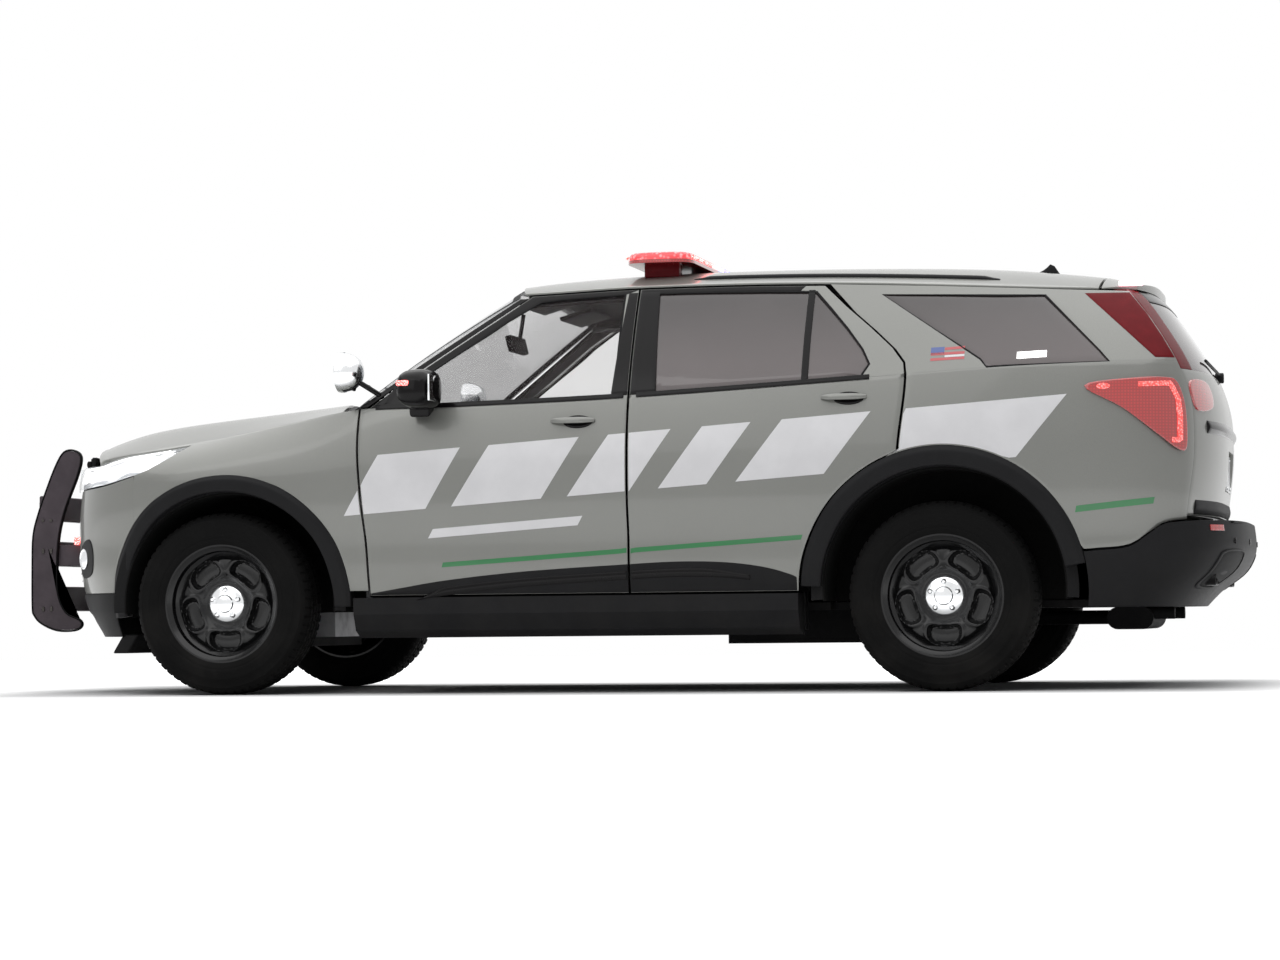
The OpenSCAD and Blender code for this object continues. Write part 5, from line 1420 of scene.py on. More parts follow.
        def bar(u, v):
            a = 2 * math.pi * v
            x = x0 - 92 + 184 * u
            r = 1 - 0.45 * abs(2 * u - 1)**4
            lift = 20 * (1 - abs(2 * u - 1)**3)
            p = on_side((x, z0 + 6 + 13 * r * math.sin(a)))
            return (p[0], p[1] + 6 + lift + 8 * r * math.cos(a), p[2])
        pull = joined(f"{body}_handle", [sheet(spread(28), spread(16), bar, side)])
        welded(pull)
        self.capped(pull)
        dress(pull, body, "paint")

    def capped(self, obj):
        only(obj)
        bpy.ops.object.mode_set(mode="EDIT")
        bpy.ops.mesh.select_all(action="DESELECT")
        bpy.ops.mesh.select_non_manifold()
        bpy.ops.mesh.edge_face_add()
        bpy.ops.object.mode_set(mode="OBJECT")
        outward(obj)
        smooth(obj, 50)

    def inner_trim(self, body, low, side):
        def at(u, v):
            p = low(mix(0.06, 0.93, u), mix(0.08, 0.9, v))
            q = on_side(p)
            d = door_inward(q)
            rest = 34 * math.exp(-((v - 0.62) / 0.09)**2) * ease(u / 0.2) * ease((1 - u) / 0.25)
            return (q[0] + d[0] * 0.5, q[1] + d[1] - 3 - rest, q[2])
        lining = slab(f"{body}_lining", spread(36), spread(36), at,
            lambda p: (0, 3 + 0.02 * p[2] / 1000, 0), side, 1)
        dress(lining, body, "cabin")


class SUV_OT_mirrors(bpy.types.Operator):
    """Door mirrors with their lamps."""
    bl_idname = "suv.mirrors"
    bl_label = "Mirrors"

    def execute(self, context):
        for tag, name, side in (("fl", "mirror_left", -1), ("fr", "mirror_right", 1)):
            body = f"door_{tag}"

            def bowl(p):
                u, v, w = p.x / 75, p.y / 105, p.z / 80
                r = max(abs(u), abs(v), abs(w), 1e-6)
                q = (abs(u)**3 + abs(v)**3 + abs(w)**3)**(1 / 3)
                f = r / q
                x = p.x * f * (0.9 if p.x < 0 else 1)
                return (x - 14 * v * side, p.y * f * (1 - 0.06 * w), p.z * f * (1 - 0.08 * v * side))
            case = block(f"{body}_mirror_case", (900, side * 1085, 1250), (150, 210, 160), 0, 1, None, 8,
                bowl)
            dress(case, body, "gloss", name)
            face = block(f"{body}_mirror_face", (966, side * 1086, 1250), (8, 160, 108), 2.5, 2)
            dress(face, body, "mirror")
            arm = block(f"{body}_mirror_arm", (884, side * 975, 1176), (86, 110, 44), 12, 3,
                ("X", -side * 22))
            dress(arm, body, "gloss")
            sail = slab(f"{body}_mirror_sail", spread(6), spread(6), lambda u, v: on_side(
                (mix(706, 905, u) + 40 * v * (1 - u), 1186 + 90 * v * (1 - 0.85 * u)), 3),
                lambda p: (0, -6, 0), side, 1.5)
            dress(sail, body, "gloss")
            lamp = block(f"{body}_mirror_lamp", (862, side * 1176, 1268), (56, 32, 22), 7, 3,
                ("Z", side * 24))
            dress(lamp, body, "lit_red")
        return {"FINISHED"}


class SUV_OT_bonnet(bpy.types.Operator):
    """The bonnet and its liner."""
    bl_idname = "suv.bonnet"
    bl_label = "Bonnet"

    def execute(self, context):
        def lipped(s, v):
            if v >= 0:
                return hood_at(v, s)
            p, a, b = hood_at(0, s), hood_at(0, min(s + 0.01, 1)), hood_at(0, max(s - 0.01, -1))
            t = Vector((a[0] - b[0], a[1] - b[1])).normalized()
            k = -v
            reach = 33 * (1 - (1 - k)**1.7)
            return (p[0] - t.y * reach, p[1] + t.x * reach, p[2] - mix(32, 24, abs(s)) * k**1.6)
        rows = [-1, -0.85, -0.65, -0.45, -0.25, -0.1] + spread(44)
        hood = slab("hood_panel", spread(64, -1, 1), rows, lipped, lambda p: (
            7 * (1 - ease((p[0] + 800) / 300)), 0,
            -20 + 14 * ease((-600 - p[0] - 0.0001 * p[1]**2) / 140)), 1, context.scene.suv_panel.round_mm)
        dress(hood, "hood", "paint", "hood")
        liner = slab("hood_liner", spread(24, -0.8, 0.8), spread(16, 0.12, 0.9), lambda s, v: tuple(
            c - d for c, d in zip(hood_at(v, s), (0, 0, 26))), lambda p: (0, 0, -8), 1, 2)
        dress(liner, "hood", "liner")
        return {"FINISHED"}


class SUV_OT_nose(bpy.types.Operator):
    """Front bumper, grille and headlamps."""
    bl_idname = "suv.nose"
    bl_label = "Nose"

    def execute(self, context):
        t = context.scene.suv_panel.round_mm

        def inward(p):
            u = ease((abs(p[1]) - 600) / 280)
            return (18 * (1 - u), -math.copysign(18, p[1]) * u, 0)

        def face(s, z):
            return nose_point(s * bumper_end(z), z)
        spans = spread(96, -1, 1)
        cutters = [block(f"arm_slot_{k}", (-860, k * 332, 605), (200, 36, 102), 0) for k in (-1, 1)]
        upper = slab("front_bumper_panel", spans, spread(30), lambda s,
            v: face(s, mix(432, bumper_top(s), v)), inward,
            1, t, 2, cutters)
        dress(upper, "body", "paint", "front_bumper")

        def lip(s, v):
            z = mix(246, 430, v)
            p = face(s, z)
            step = 10 * ease((v - 0.5) / 0.08) - 4 * ease((v - 0.9) / 0.1)
            return (p[0] - step * (1 - abs(s)**3), p[1], z)
        dress(slab("front_bumper_lip", spans, spread(22), lip, inward, 1, 2), "body", "trim")

        def deflector(name, side):
            return slab(name, spread(8), spread(6), lambda u,
                v: (mix(-548, -500, v) + 60 * (1 - u), mix(560, 800, u), mix(176, 256, v)),
                lambda p: (70, 0, 0), side, 8, 3)
        dress(sides("air_deflectors", deflector), "body", "trim")

        def intake(s, v):
            z = mix(470, 660, v)
            p = nose_point(s * 0.42, z)
            return (p[0] - 2, p[1], z)
        dress(slab("front_intake", spread(40, -1, 1), spread(14), intake, lambda p: (5, 0, 0), 1, 1,
            2, [block(f"intake_slot_{k}", (-860, k * 332, 605), (200, 36, 102), 0) for k in (-1, 1)]),
            "body", "seal")
        bars = []
        for i in range(6):
            z = 486 + 32 * i
            bars.append(slab(f"intake_bar_{i}", spread(40, -1, 1), spread(3), lambda s, v, z=z: (
                nose_point(s * 0.41, z)[0] - 9 + 2 * v, nose_point(s * 0.41, z)[1], z + 9 * v),
                lambda p: (8, 0, 0), 1, 1))
        dress(joined("front_intake_bars", bars), "body", "trim")

        def fog_shape(k):
            return rounded([(0.62, 512), (0.74, 498), (0.86, 520), (0.89, 600), (0.84, 662), (0.70, 640),
                (0.61, 580)], 5)[k]

        def fog_at(p, out):
            q = nose_point(p[0], p[1])
            return (q[0] - out * math.cos(p[0]), q[1] + out * math.sin(p[0]), q[2])

        def fog(name, side):
            loop = [fog_shape(k) for k in range(35)]
            return pane(name, loop, lambda p: fog_at(p, 3), lambda p: (6, -3, 0), side,
                (1, 0.9, 0.6, 0.3, 0), 2)
        dress(sides("fog_pockets", fog), "body", "trim")

        def fog_lamp(name, side):
            at = fog_at((0.75, 580), 0)
            return lathe(name, [(0, 12), (20, 11), (34, 9), (40, 12), (44, 10), (44, 0), (0, 0)],
                (at[0], side * at[1], at[2]),
                (-math.cos(0.75), side * math.sin(0.75), 0), 40, False)
        dress(sides("fog_lamps", fog_lamp), "body", "bowl")
        slats = []
        for i in range(6):
            z0 = 712 + 54 * i
            slats.append(slab(f"grille_slat_{i}", spread(44, -0.3927, 0.3927), spread(6), lambda a, v,
                z0=z0: (
                nose_point(a, z0)[0] + 2 - 5 * math.sin(math.pi * v), nose_point(a, z0)[1], z0 + 30 * v),
                lambda p: (18, 0, 0), 1, 2))
        dress(joined("grille_slats", slats), "body", "gloss")
        net = slab("grille_net", spread(40, -0.3927, 0.3927), spread(20), lambda a, v: (
            nose_point(a, mix(702, 1028, v))[0] + 16, nose_point(a, 800)[1], mix(702, 1028, v)),
            lambda p: (20, 0, 0), 1, 1)
        dress(net, "body", "seal", "grille")
        posts = []
        for i in range(-9, 10):
            a = i * 0.041
            posts.append(slab(f"grille_post_{i}", spread(2, -0.004, 0.004), spread(20), lambda d, v,
                a=a: (
                nose_point(a, mix(706, 1024, v))[0] + 9, nose_point(a + d, 800)[1], mix(706, 1024, v)),
                lambda p: (9, 0, 0), 1, 0.8))
        dress(joined("grille_posts", posts), "body", "trim")

        def lamp_point(x, z, out=0):
            return (x, max(side_w(x, z), 474 + 0.6 * (x + 818)) + out, z)

        def lamp_z(x, v):
            return mix(curve(x, LAMP_LOW) + 1.2, belt_z(x) - 30 + 22 * ease((x + 640) / 200), v)

        def cover_in(p):
            u = ease((p[0] + 818) / 300)
            return (3 * (1 - u), -3 * u - 0.5, 0)
        xs = [-818 + 648 * (k / 48)**1.25 for k in range(49)]

        def cover(name, side):
            return slab(name, xs, spread(14), lambda x, v: lamp_point(x, lamp_z(x, v)), cover_in, side, 1)
        dress(sides("headlamp_covers", cover), "body", "clear")

        def bowl(name, side):
            def at(x, v):
                p = lamp_point(x, lamp_z(x, mix(0.04, 0.96, v)))
                u = ease((x + 818) / 300)
                d = 26 + 7 * math.sin(v * 9) * math.sin(x / 30)
                return (p[0] + d * (1 - u), p[1] - d * u - 4, p[2])
            return slab(name, xs[1:-4], spread(14), at, lambda p: (6, -6, 0), side, 1)
        dress(sides("headlamp_bowls", bowl), "body", "bowl", "headlamps")

        def light(name, side):
            def at(x, v):
                p = lamp_point(x, lamp_z(x, mix(0.3, 0.72, v)))
                u = ease((x + 818) / 300)
                return (p[0] + 14 * (1 - u), p[1] - 14 * u - 3, p[2])
            return slab(name, [x for x in xs if -770 < x < -300], spread(8), at, lambda p: (4, -3, 0),
                side, 1.5)
        dress(sides("headlamp_lights", light), "body", "lit_white")

        def brow(name, side):
            def at(x, v):
                p = lamp_point(x, lamp_z(x, mix(0.84, 0.95, v)))
                u = ease((x + 818) / 300)
                return (p[0] + 9 * (1 - u), p[1] - 9 * u - 2, p[2])
            return slab(name, xs[2:-5], spread(3), at, lambda p: (4, -3, 0), side, 1)
        dress(sides("headlamp_brows", brow), "body", "lit_white")
        return {"FINISHED"}


class SUV_OT_tail(bpy.types.Operator):
    """Tailgate, rear bumper, spoiler and tail lamps."""
    bl_idname = "suv.tail"
    bl_label = "Tail"

    def execute(self, context):
        t = context.scene.suv_panel.round_mm
        cut = block("plate_pocket", (gate_mid(880) + 18, 0, 880), (60, 330, 178), 0)
        gate = slab("tailgate_panel", spread(60, -1, 1), spread(40), lambda s,
            v: gate_at(mix(690, 1272, v), s),
            lambda p: (-52, 0, 0), 1, t, 2, [cut])
        dress(gate, "tailgate", "paint", "tailgate")

        def frame_post(name, side):
            return slab(name, spread(10, 0.86, 1), spread(30), lambda s,
                v: gate_at(mix(1273, 1611, v), s),
                lambda p: (-52, 0, 0), side, t)
        # Gloss black posts, with the painted red reflection of the post finish
        dress(sides("tailgate_posts", frame_post), "tailgate", "post")
        header = slab("tailgate_header", spread(40, -0.87, 0.87), spread(5), lambda s,
            v: gate_at(mix(1562, 1611, v), s),
            lambda p: (-52, 0, 0), 1, t)
        dress(header, "tailgate", "gloss")
        glass = slab("tailgate_window", spread(40, -0.88, 0.88), spread(20), lambda s, v: tuple(
            c - d for c, d in zip(gate_at(mix(1271, 1571, v), s), (5, 0, 0))), lambda p: (-4, 0, 0), 1,
            0.8)
        dress(glass, "tailgate", "dark_glass", "tailgate_glass")
        ledge = slab("tailgate_ledge", spread(50, -0.84, 0.84), spread(8), lambda s,
            v: moved(gate_at(mix(1020, 1072, v), s),
            (12 * math.sin(math.pi * clamp(v, 0.05, 0.95)), 0, 0)),
            lambda p: (-16, 0, 0), 1, 2)
        dress(ledge, "tailgate", "gloss")
        step = slab("tailgate_lower_trim", spread(50, -0.93, 0.93), spread(8), lambda s,
            v: moved(gate_at(mix(694, 752, v), s),
            (8 * math.sin(math.pi * clamp(v, 0.05, 0.95)), 0, 0)),
            lambda p: (-12, 0, 0), 1, 2)
        dress(step, "tailgate", "trim")
        plate = block("number_plate", (gate_mid(880) - 9, 0, 880), (3, 305, 152), 1.2, 2)
        dress(plate, "tailgate", "plate")
        screws = [rod(f"plate_screw_{a}{b}", (gate_mid(880) - 9, a * 89, 880 + b * 60.5),
            (gate_mid(880) - 4, a * 89, 880 + b * 60.5), 7, 16, 1.2) for a in (-1, 1) for b in (-1, 1)]
        dress(joined("plate_screws", screws), "tailgate", "chrome")

        def spoiler_at(v, s):
            a = roof_at(BASE + 610, s)
            w = mix(roof_w(BASE + 610) - 8, 560, v)
            return (mix(BASE + 620, BASE + 818 - 60 * abs(s)**3, v), s * w,
                mix(a[2], 1652 - 18 * abs(s)**2.6, v))
        wing = slab("spoiler_panel", spread(48, -1, 1), spread(20), lambda s, v: spoiler_at(v, s),
            lambda p: (0, 0, 1614 - p[2]), 1, 3, 3)
        dress(wing, "tailgate", "paint", "spoiler")
        lamps = [block(f"spoiler_lamp_{k}", (BASE + 800 - 8, k * 130, 1634), (14, 90, 13), 4, 3)
            for k in (-2, -1, 1, 2)]
        dress(joined("spoiler_lamps", lamps), "tailgate", "lit_red")
        ends = [block(f"spoiler_end_lamp_{k}", (BASE + 735, k * 590, 1640), (100, 26, 22), 7, 3,
            ("Z", -k * 12)) for k in (-1, 1)]
        dress(joined("spoiler_end_lamps", ends), "tailgate", "lit_pink")
        blade = [rod("rear_wiper_blade", (gate_at(1300, 0)[0] + 14, 40, 1300),
            (gate_at(1330, -0.5)[0] + 10, -400, 1330), 7, 8, 1.5),
            rod("rear_wiper_pivot", (gate_at(1288, 0)[0] - 10, 60, 1288),
            (gate_at(1288, 0)[0] + 26, 60, 1288), 22, 20, 4)]
        dress(joined("rear_wiper", blade), "tailgate", "trim")

        def inward(p):
            u = ease((abs(p[1]) - 650) / 280)
            return (-18 * (1 - u), -math.copysign(18, p[1]) * u, 0)

        def rear_face(s, v):
            z = mix(330, tail_top(s), v)
            return tail_point(s * tail_end(z), z)
        dress(slab("rear_bumper_panel", spread(96, -1, 1), spread(28), rear_face, inward, 1, t), "body",
            "trim", "rear_bumper")
        pad = slab("rear_step_pad", spread(50, -0.72, 0.72), spread(6), lambda s, v: (
            mix(gate_mid(690) + 16, BUMPER_X - 12 - 130 * abs(s)**4, v), s * 900, 672 - 4 * v),
            lambda p: (0, 0, -8), 1, 2)
        dress(pad, "body", "seal")

        def corner(name, side):
            def at(s, v):
                q = rear_face(s, 1)
                n = inward(q)
                return (q[0] + 1.4 * n[0], q[1] + 1.4 * n[1], q[2] + mix(-40, 34, v))
            return slab(name, spread(24, 0.8, 0.985), spread(4), at, lambda p: (0, -4, 0), side, 1)
        dress(sides("rear_corner_seals", corner), "body", "seal")

        def rear_at(p, out):
            a = math.asin(min((p[0] / (HALF_W - low_inset(p[1])))**1.75, 1))
            q = tail_point(a, p[1])
            return (q[0] + out, q[1], q[2])
        port = rounded([(425, 445), (468, 402), (702, 402), (745, 445), (745, 512), (702, 552),
            (468, 552), (425, 512)], 4)

        def surround(name, side):
            return pane(name, port, lambda p: rear_at(p, 6), lambda p: (-8, 0, 0), side, (1, 0.95, 0.9),
                2.5, (585, 478))
        dress(sides("exhaust_surrounds", surround), "body", "trim")

        def recess(name, side):
            return pane(name, port, lambda p: rear_at(p, 1.5), lambda p: (-3, 0, 0), side,
                (0.92, 0.7, 0.4, 0), 0.8, (585, 478))
        dress(sides("exhaust_recesses", recess), "body", "seal")
        sensors = []
        for k in (-620, -300, 300, 620):
            x, y, z = rear_at((abs(k), 590), 0)
            sensors.append(lathe(f"park_sensor_{k}", [(0, 4), (11, 4), (12, 0), (12, -4), (0, -4)],
                (x, math.copysign(y, k), z), (1, 0, 0), 24))
        dress(joined("park_sensors", sensors), "body", "gloss")

        def reflector(name, side):
            return slab(name, spread(10, 0.30, 0.40), spread(4), lambda a,
                v: moved(tail_point(a * math.pi / 2 + 0.16, mix(628, 652, v)), (3.5, 2.5, 0)),
                lambda p: (-6, -3, 0), side, 1.5)
        dress(sides("rear_reflectors", reflector), "body", "red")
        tips = []
        for k in (-1, 1):
            for j in (-1, 1):
                tips.append(lathe(f"exhaust_tip_{k}_{j}",
                    [(40, 0), (40, 96), (37, 99), (35, 95), (35, 0)],
                    (BASE + 962, k * 585 + j * 48, 452), (1, 0, 0), 40))
        dress(joined("exhaust_tips", tips), "body", "gloss")

        def on_quarter(p, out):
            q = on_side((BASE + p[0], p[1]), out)
            return (q[0] + 0.7 * out * ease((q[0] - TAIL_C) / 400), q[1], q[2])
        outline = rounded([(576, 1204), (760, 1232), (880, 1235), (922, 1222), (948, 1160), (960, 1080),
            (960, 960), (930, 948),
            (850, 1010), (721, 1113)], 5)

        def lens(name, side):
            return pane(name, outline, lambda p: on_quarter(p, 11), lambda p: (-2, -8, 0), side,
                (1, 0.93, 0.75, 0.5, 0.25, 0),
                2.5, (850, 1140))
        dress(sides("tail_lamp_lenses", lens), "body", "red", "tail_lamps")

        def glow(name, side):
            def at(i, v):
                spine = along([(780, 1206), (900, 1210), (928, 1150), (935, 1080), (935, 985),
                    (905, 985)], 8)
                x, z = spine[i]
                ox, oz = ((0, 1) if i < 9 else (1, 0) if i < 33 else (0, -1))
                return on_quarter((x + ox * (v - 0.5) * 20, z + oz * (v - 0.5) * 20), 12.5)
            return slab(name, range(41), spread(3), at, lambda p: (-1, -3, 0), side, 0.8)
        dress(sides("tail_lamp_lights", glow), "body", "lit_tail")

        def spot(name, side):
            return pane(name, [(648 + 26 * math.cos(a / 12 * math.pi),
                1200 + 12 * math.sin(a / 12 * math.pi)) for a in range(24)],
                lambda p: on_quarter(p, 12.8), lambda p: (-1, -3, 0), side, (1, 0.6, 0), 0.8)
        dress(sides("tail_lamp_spots", spot), "body", "lit_tail")

        def inner(name, side):
            loop = rounded([(650, 1132), (870, 1112), (870, 1222), (646, 1226)], 6)
            return pane(name, loop, lambda p: moved(gate_at(p[1], p[0] / 900), (7, 2, 0)),
                lambda p: (-14, 0, 0), side, (1, 0.93, 0.75, 0.5, 0.25, 0), 3)
        dress(sides("tailgate_lamps", inner), "tailgate", "red")
        return {"FINISHED"}


class SUV_OT_trims(bpy.types.Operator):
    """Black flares round the wheel openings."""
    bl_idname = "suv.trims"
    bl_label = "Wheel flares"

    def execute(self, context):
        def flare(c, r0, r1, a0, a1):
            def maker(name, side):
                def at(k, v):
                    a = math.radians(mix(a0, a1, k))
                    p = arch_at(c, mix(r1, r0, v), a)
                    out = 3 + 13 * ease(v / 0.3) - 6 * ease((v - 0.86) / 0.14)
                    q = on_side(p)
                    return (q[0], q[1] + out, q[2])
                return slab(name, spread(90), spread(10), at, lambda p: (0, -60, 0), side, 3, 3)
            return maker
        front = sides("front_flares", flare(FRONT_ARCH, ARCH_R[0] + 1, TRIM_R[0] - 1, 186, -2))
        rear = sides("rear_flares", flare(REAR_ARCH, ARCH_R[1] + 1, TRIM_R[1] - 1, 178, 10))
        dress(joined("wheel_flares", [front, rear]), "body", "trim", "arch_trims")

        def flange(c, r):
            def maker(name, side):
                def at(k, v):
                    x, z = arch_at(c, mix(r - 5, r + 45, v), math.radians(mix(184, -4, k)))
                    return (x, 944, z)
                return slab(name, spread(80), spread(3), at, lambda p: (0, -5, 0), side, 1)
            return maker
        front = sides("front_flanges", flange(FRONT_ARCH, ARCH_R[0]))
        rear = sides("rear_flanges", flange(REAR_ARCH, ARCH_R[1]))
        dress(joined("wheel_liner_flanges", [front, rear]), "body", "seal")
        return {"FINISHED"}


class SUV_OT_wheels(bpy.types.Operator):
    """Steel wheels with oval pockets and a bright cap, and tyres with tread."""
    bl_idname = "suv.wheels"
    bl_label = "Wheels"

    def execute(self, context):
        w = context.scene.suv_wheel
        for tag, x, side in (("fl", 0, -1), ("fr", 0, 1), ("rl", BASE, -1), ("rr", BASE, 1)):
            body = f"wheel_{tag}"
            at = (x, side * TRACK_Y, TYRE_R)
            axis = (0, side, 0)
            dress(self.disc(body, at, side, w.pockets), body, "wheel", body)
            barrel = lathe(f"{body}_barrel", [(247, 112), (247, 104), (231, 98), (227, 66), (205, 44),
                (205, -48), (227, -72),
                (230, -98), (247, -103), (247, -112), (239, -112), (219, -84), (218, -76), (196, -52),
                (196, 46),
                (218, 66), (222, 96), (232, 104), (240, 112)], at, axis, 96)
            dress(barrel, body, "wheel")
            cap = lathe(f"{body}_cap", [(0, 78), (18, 77), (34, 74), (38, 68), (54, 65), (72, 58),
                (83, 48), (87, 38), (87, 34),
                (83, 34), (80, 44), (69, 54), (52, 61), (36, 64), (31, 70), (16, 73), (0, 74)],
                at, axis, 64, False)
            lugs = [cap]
            for k in range(5):
                a = 2 * math.pi * k / 5 + 0.3
                lug_at = (x + 57 * math.cos(a), at[1] + side * 54, TYRE_R + 57 * math.sin(a))
                lugs.append(lathe(f"{body}_lug_{k}",
                    [(0, 22), (6, 21), (10, 17), (12, 8), (13, 0), (0, 0)], lug_at, axis, 20, False))
            dress(joined(f"{body}_cap", lugs), body, "chrome")
            tyre = self.tyre(f"{body}_tyre", at, side, w.pitches, w.groove_mm)
            dress(tyre, body, "tyre", f"tyre_{tag}")
        return {"FINISHED"}

    def disc(self, body, at, side, pockets):
        """The disc: a dished plate with oval pockets pressed into it."""
        dish = [(60, 40), (92, 38), (108, 50), (140, 64), (182, 62), (198, 52), (206, 44)]

        def pressed(i, r):
            a = 2 * math.pi * i / 220
            h = curve(r, dish)
            d = ((a + math.pi / 2) / (2 * math.pi / pockets) + 0.5) % 1 - 0.5
            arc = d * 2 * math.pi / pockets * r
            oval = math.sqrt(abs((r - 158) / 41)**2.6 + abs(arc / 72)**2.6)
            rim = 5 * math.exp(-((oval - 1.15) / 0.16)**2)
            h = h + rim - 34 * (1 - ease((oval - 0.72) / 0.3))
            return (at[0] + r * math.cos(a), at[1] + side * h, at[2] + r * math.sin(a))
        rows = [60, 76, 84, 92, 98] + spread(36, 104, 202) + [205.5]
        return slab(f"{body}_disc", range(221), rows, pressed, lambda p: (0, -side * 6, 0), 1, 0)

    def tyre(self, name, at, side, pitches, depth):
        flank = [(231, 97), (247.6, 103), (247.6, 112), (262, 119), (270, 121.5), (274, 121),
            (278, 123.5), (287, 125), (310, 124),
            (316, 125), (320, 123.4), (345, 118), (350, 118.6), (354, 116.4), (366, 104), (374, 92)]
        tread = [(377.5, 83), (378.6, 78), (379.4, 62), (379.6, 61), (380.2, 34), (380.4, 33), (381, 12),
            (381, 11)]
        half = flank + tread
        profile = half + [(381, 0)] + [(r, -y) for r, y in reversed(half)]
        grooves = (72, 36, 0)
        n = pitches * 8
        first, last = len(flank) - 2, len(profile) - len(flank) + 1
        rows = []
        for k, p in enumerate(profile):
            rows.append(p)
            if first <= k < last:
                q = profile[k + 1]
                rows += [mix(p, q, j / 3) for j in (1, 2)] if abs(q[1] - p[1]) > 6 else []
        rows.append(profile[0])

        def cut(i, k):
            r, y = rows[k]
            a = 2 * math.pi * i / n
            if abs(y) < 104 and r > 360:
                phase = (i + 2 * (y > 0) + (3 if abs(y) > 54 else 0)) % 8
                d = 0.0
                for g in grooves:
                    d = max(d, 1 - ease((abs(abs(y) - g) - 3.0) / 2.5))
                if phase in (0, 1) and abs(y) > 8:
                    d = max(d, 0.75)
                r -= depth * d
            return (at[0] + r * math.cos(a), at[1] + side * y, at[2] + r * math.sin(a))
        return closed_form(name, range(n + 1), range(len(rows)), cut, 35)


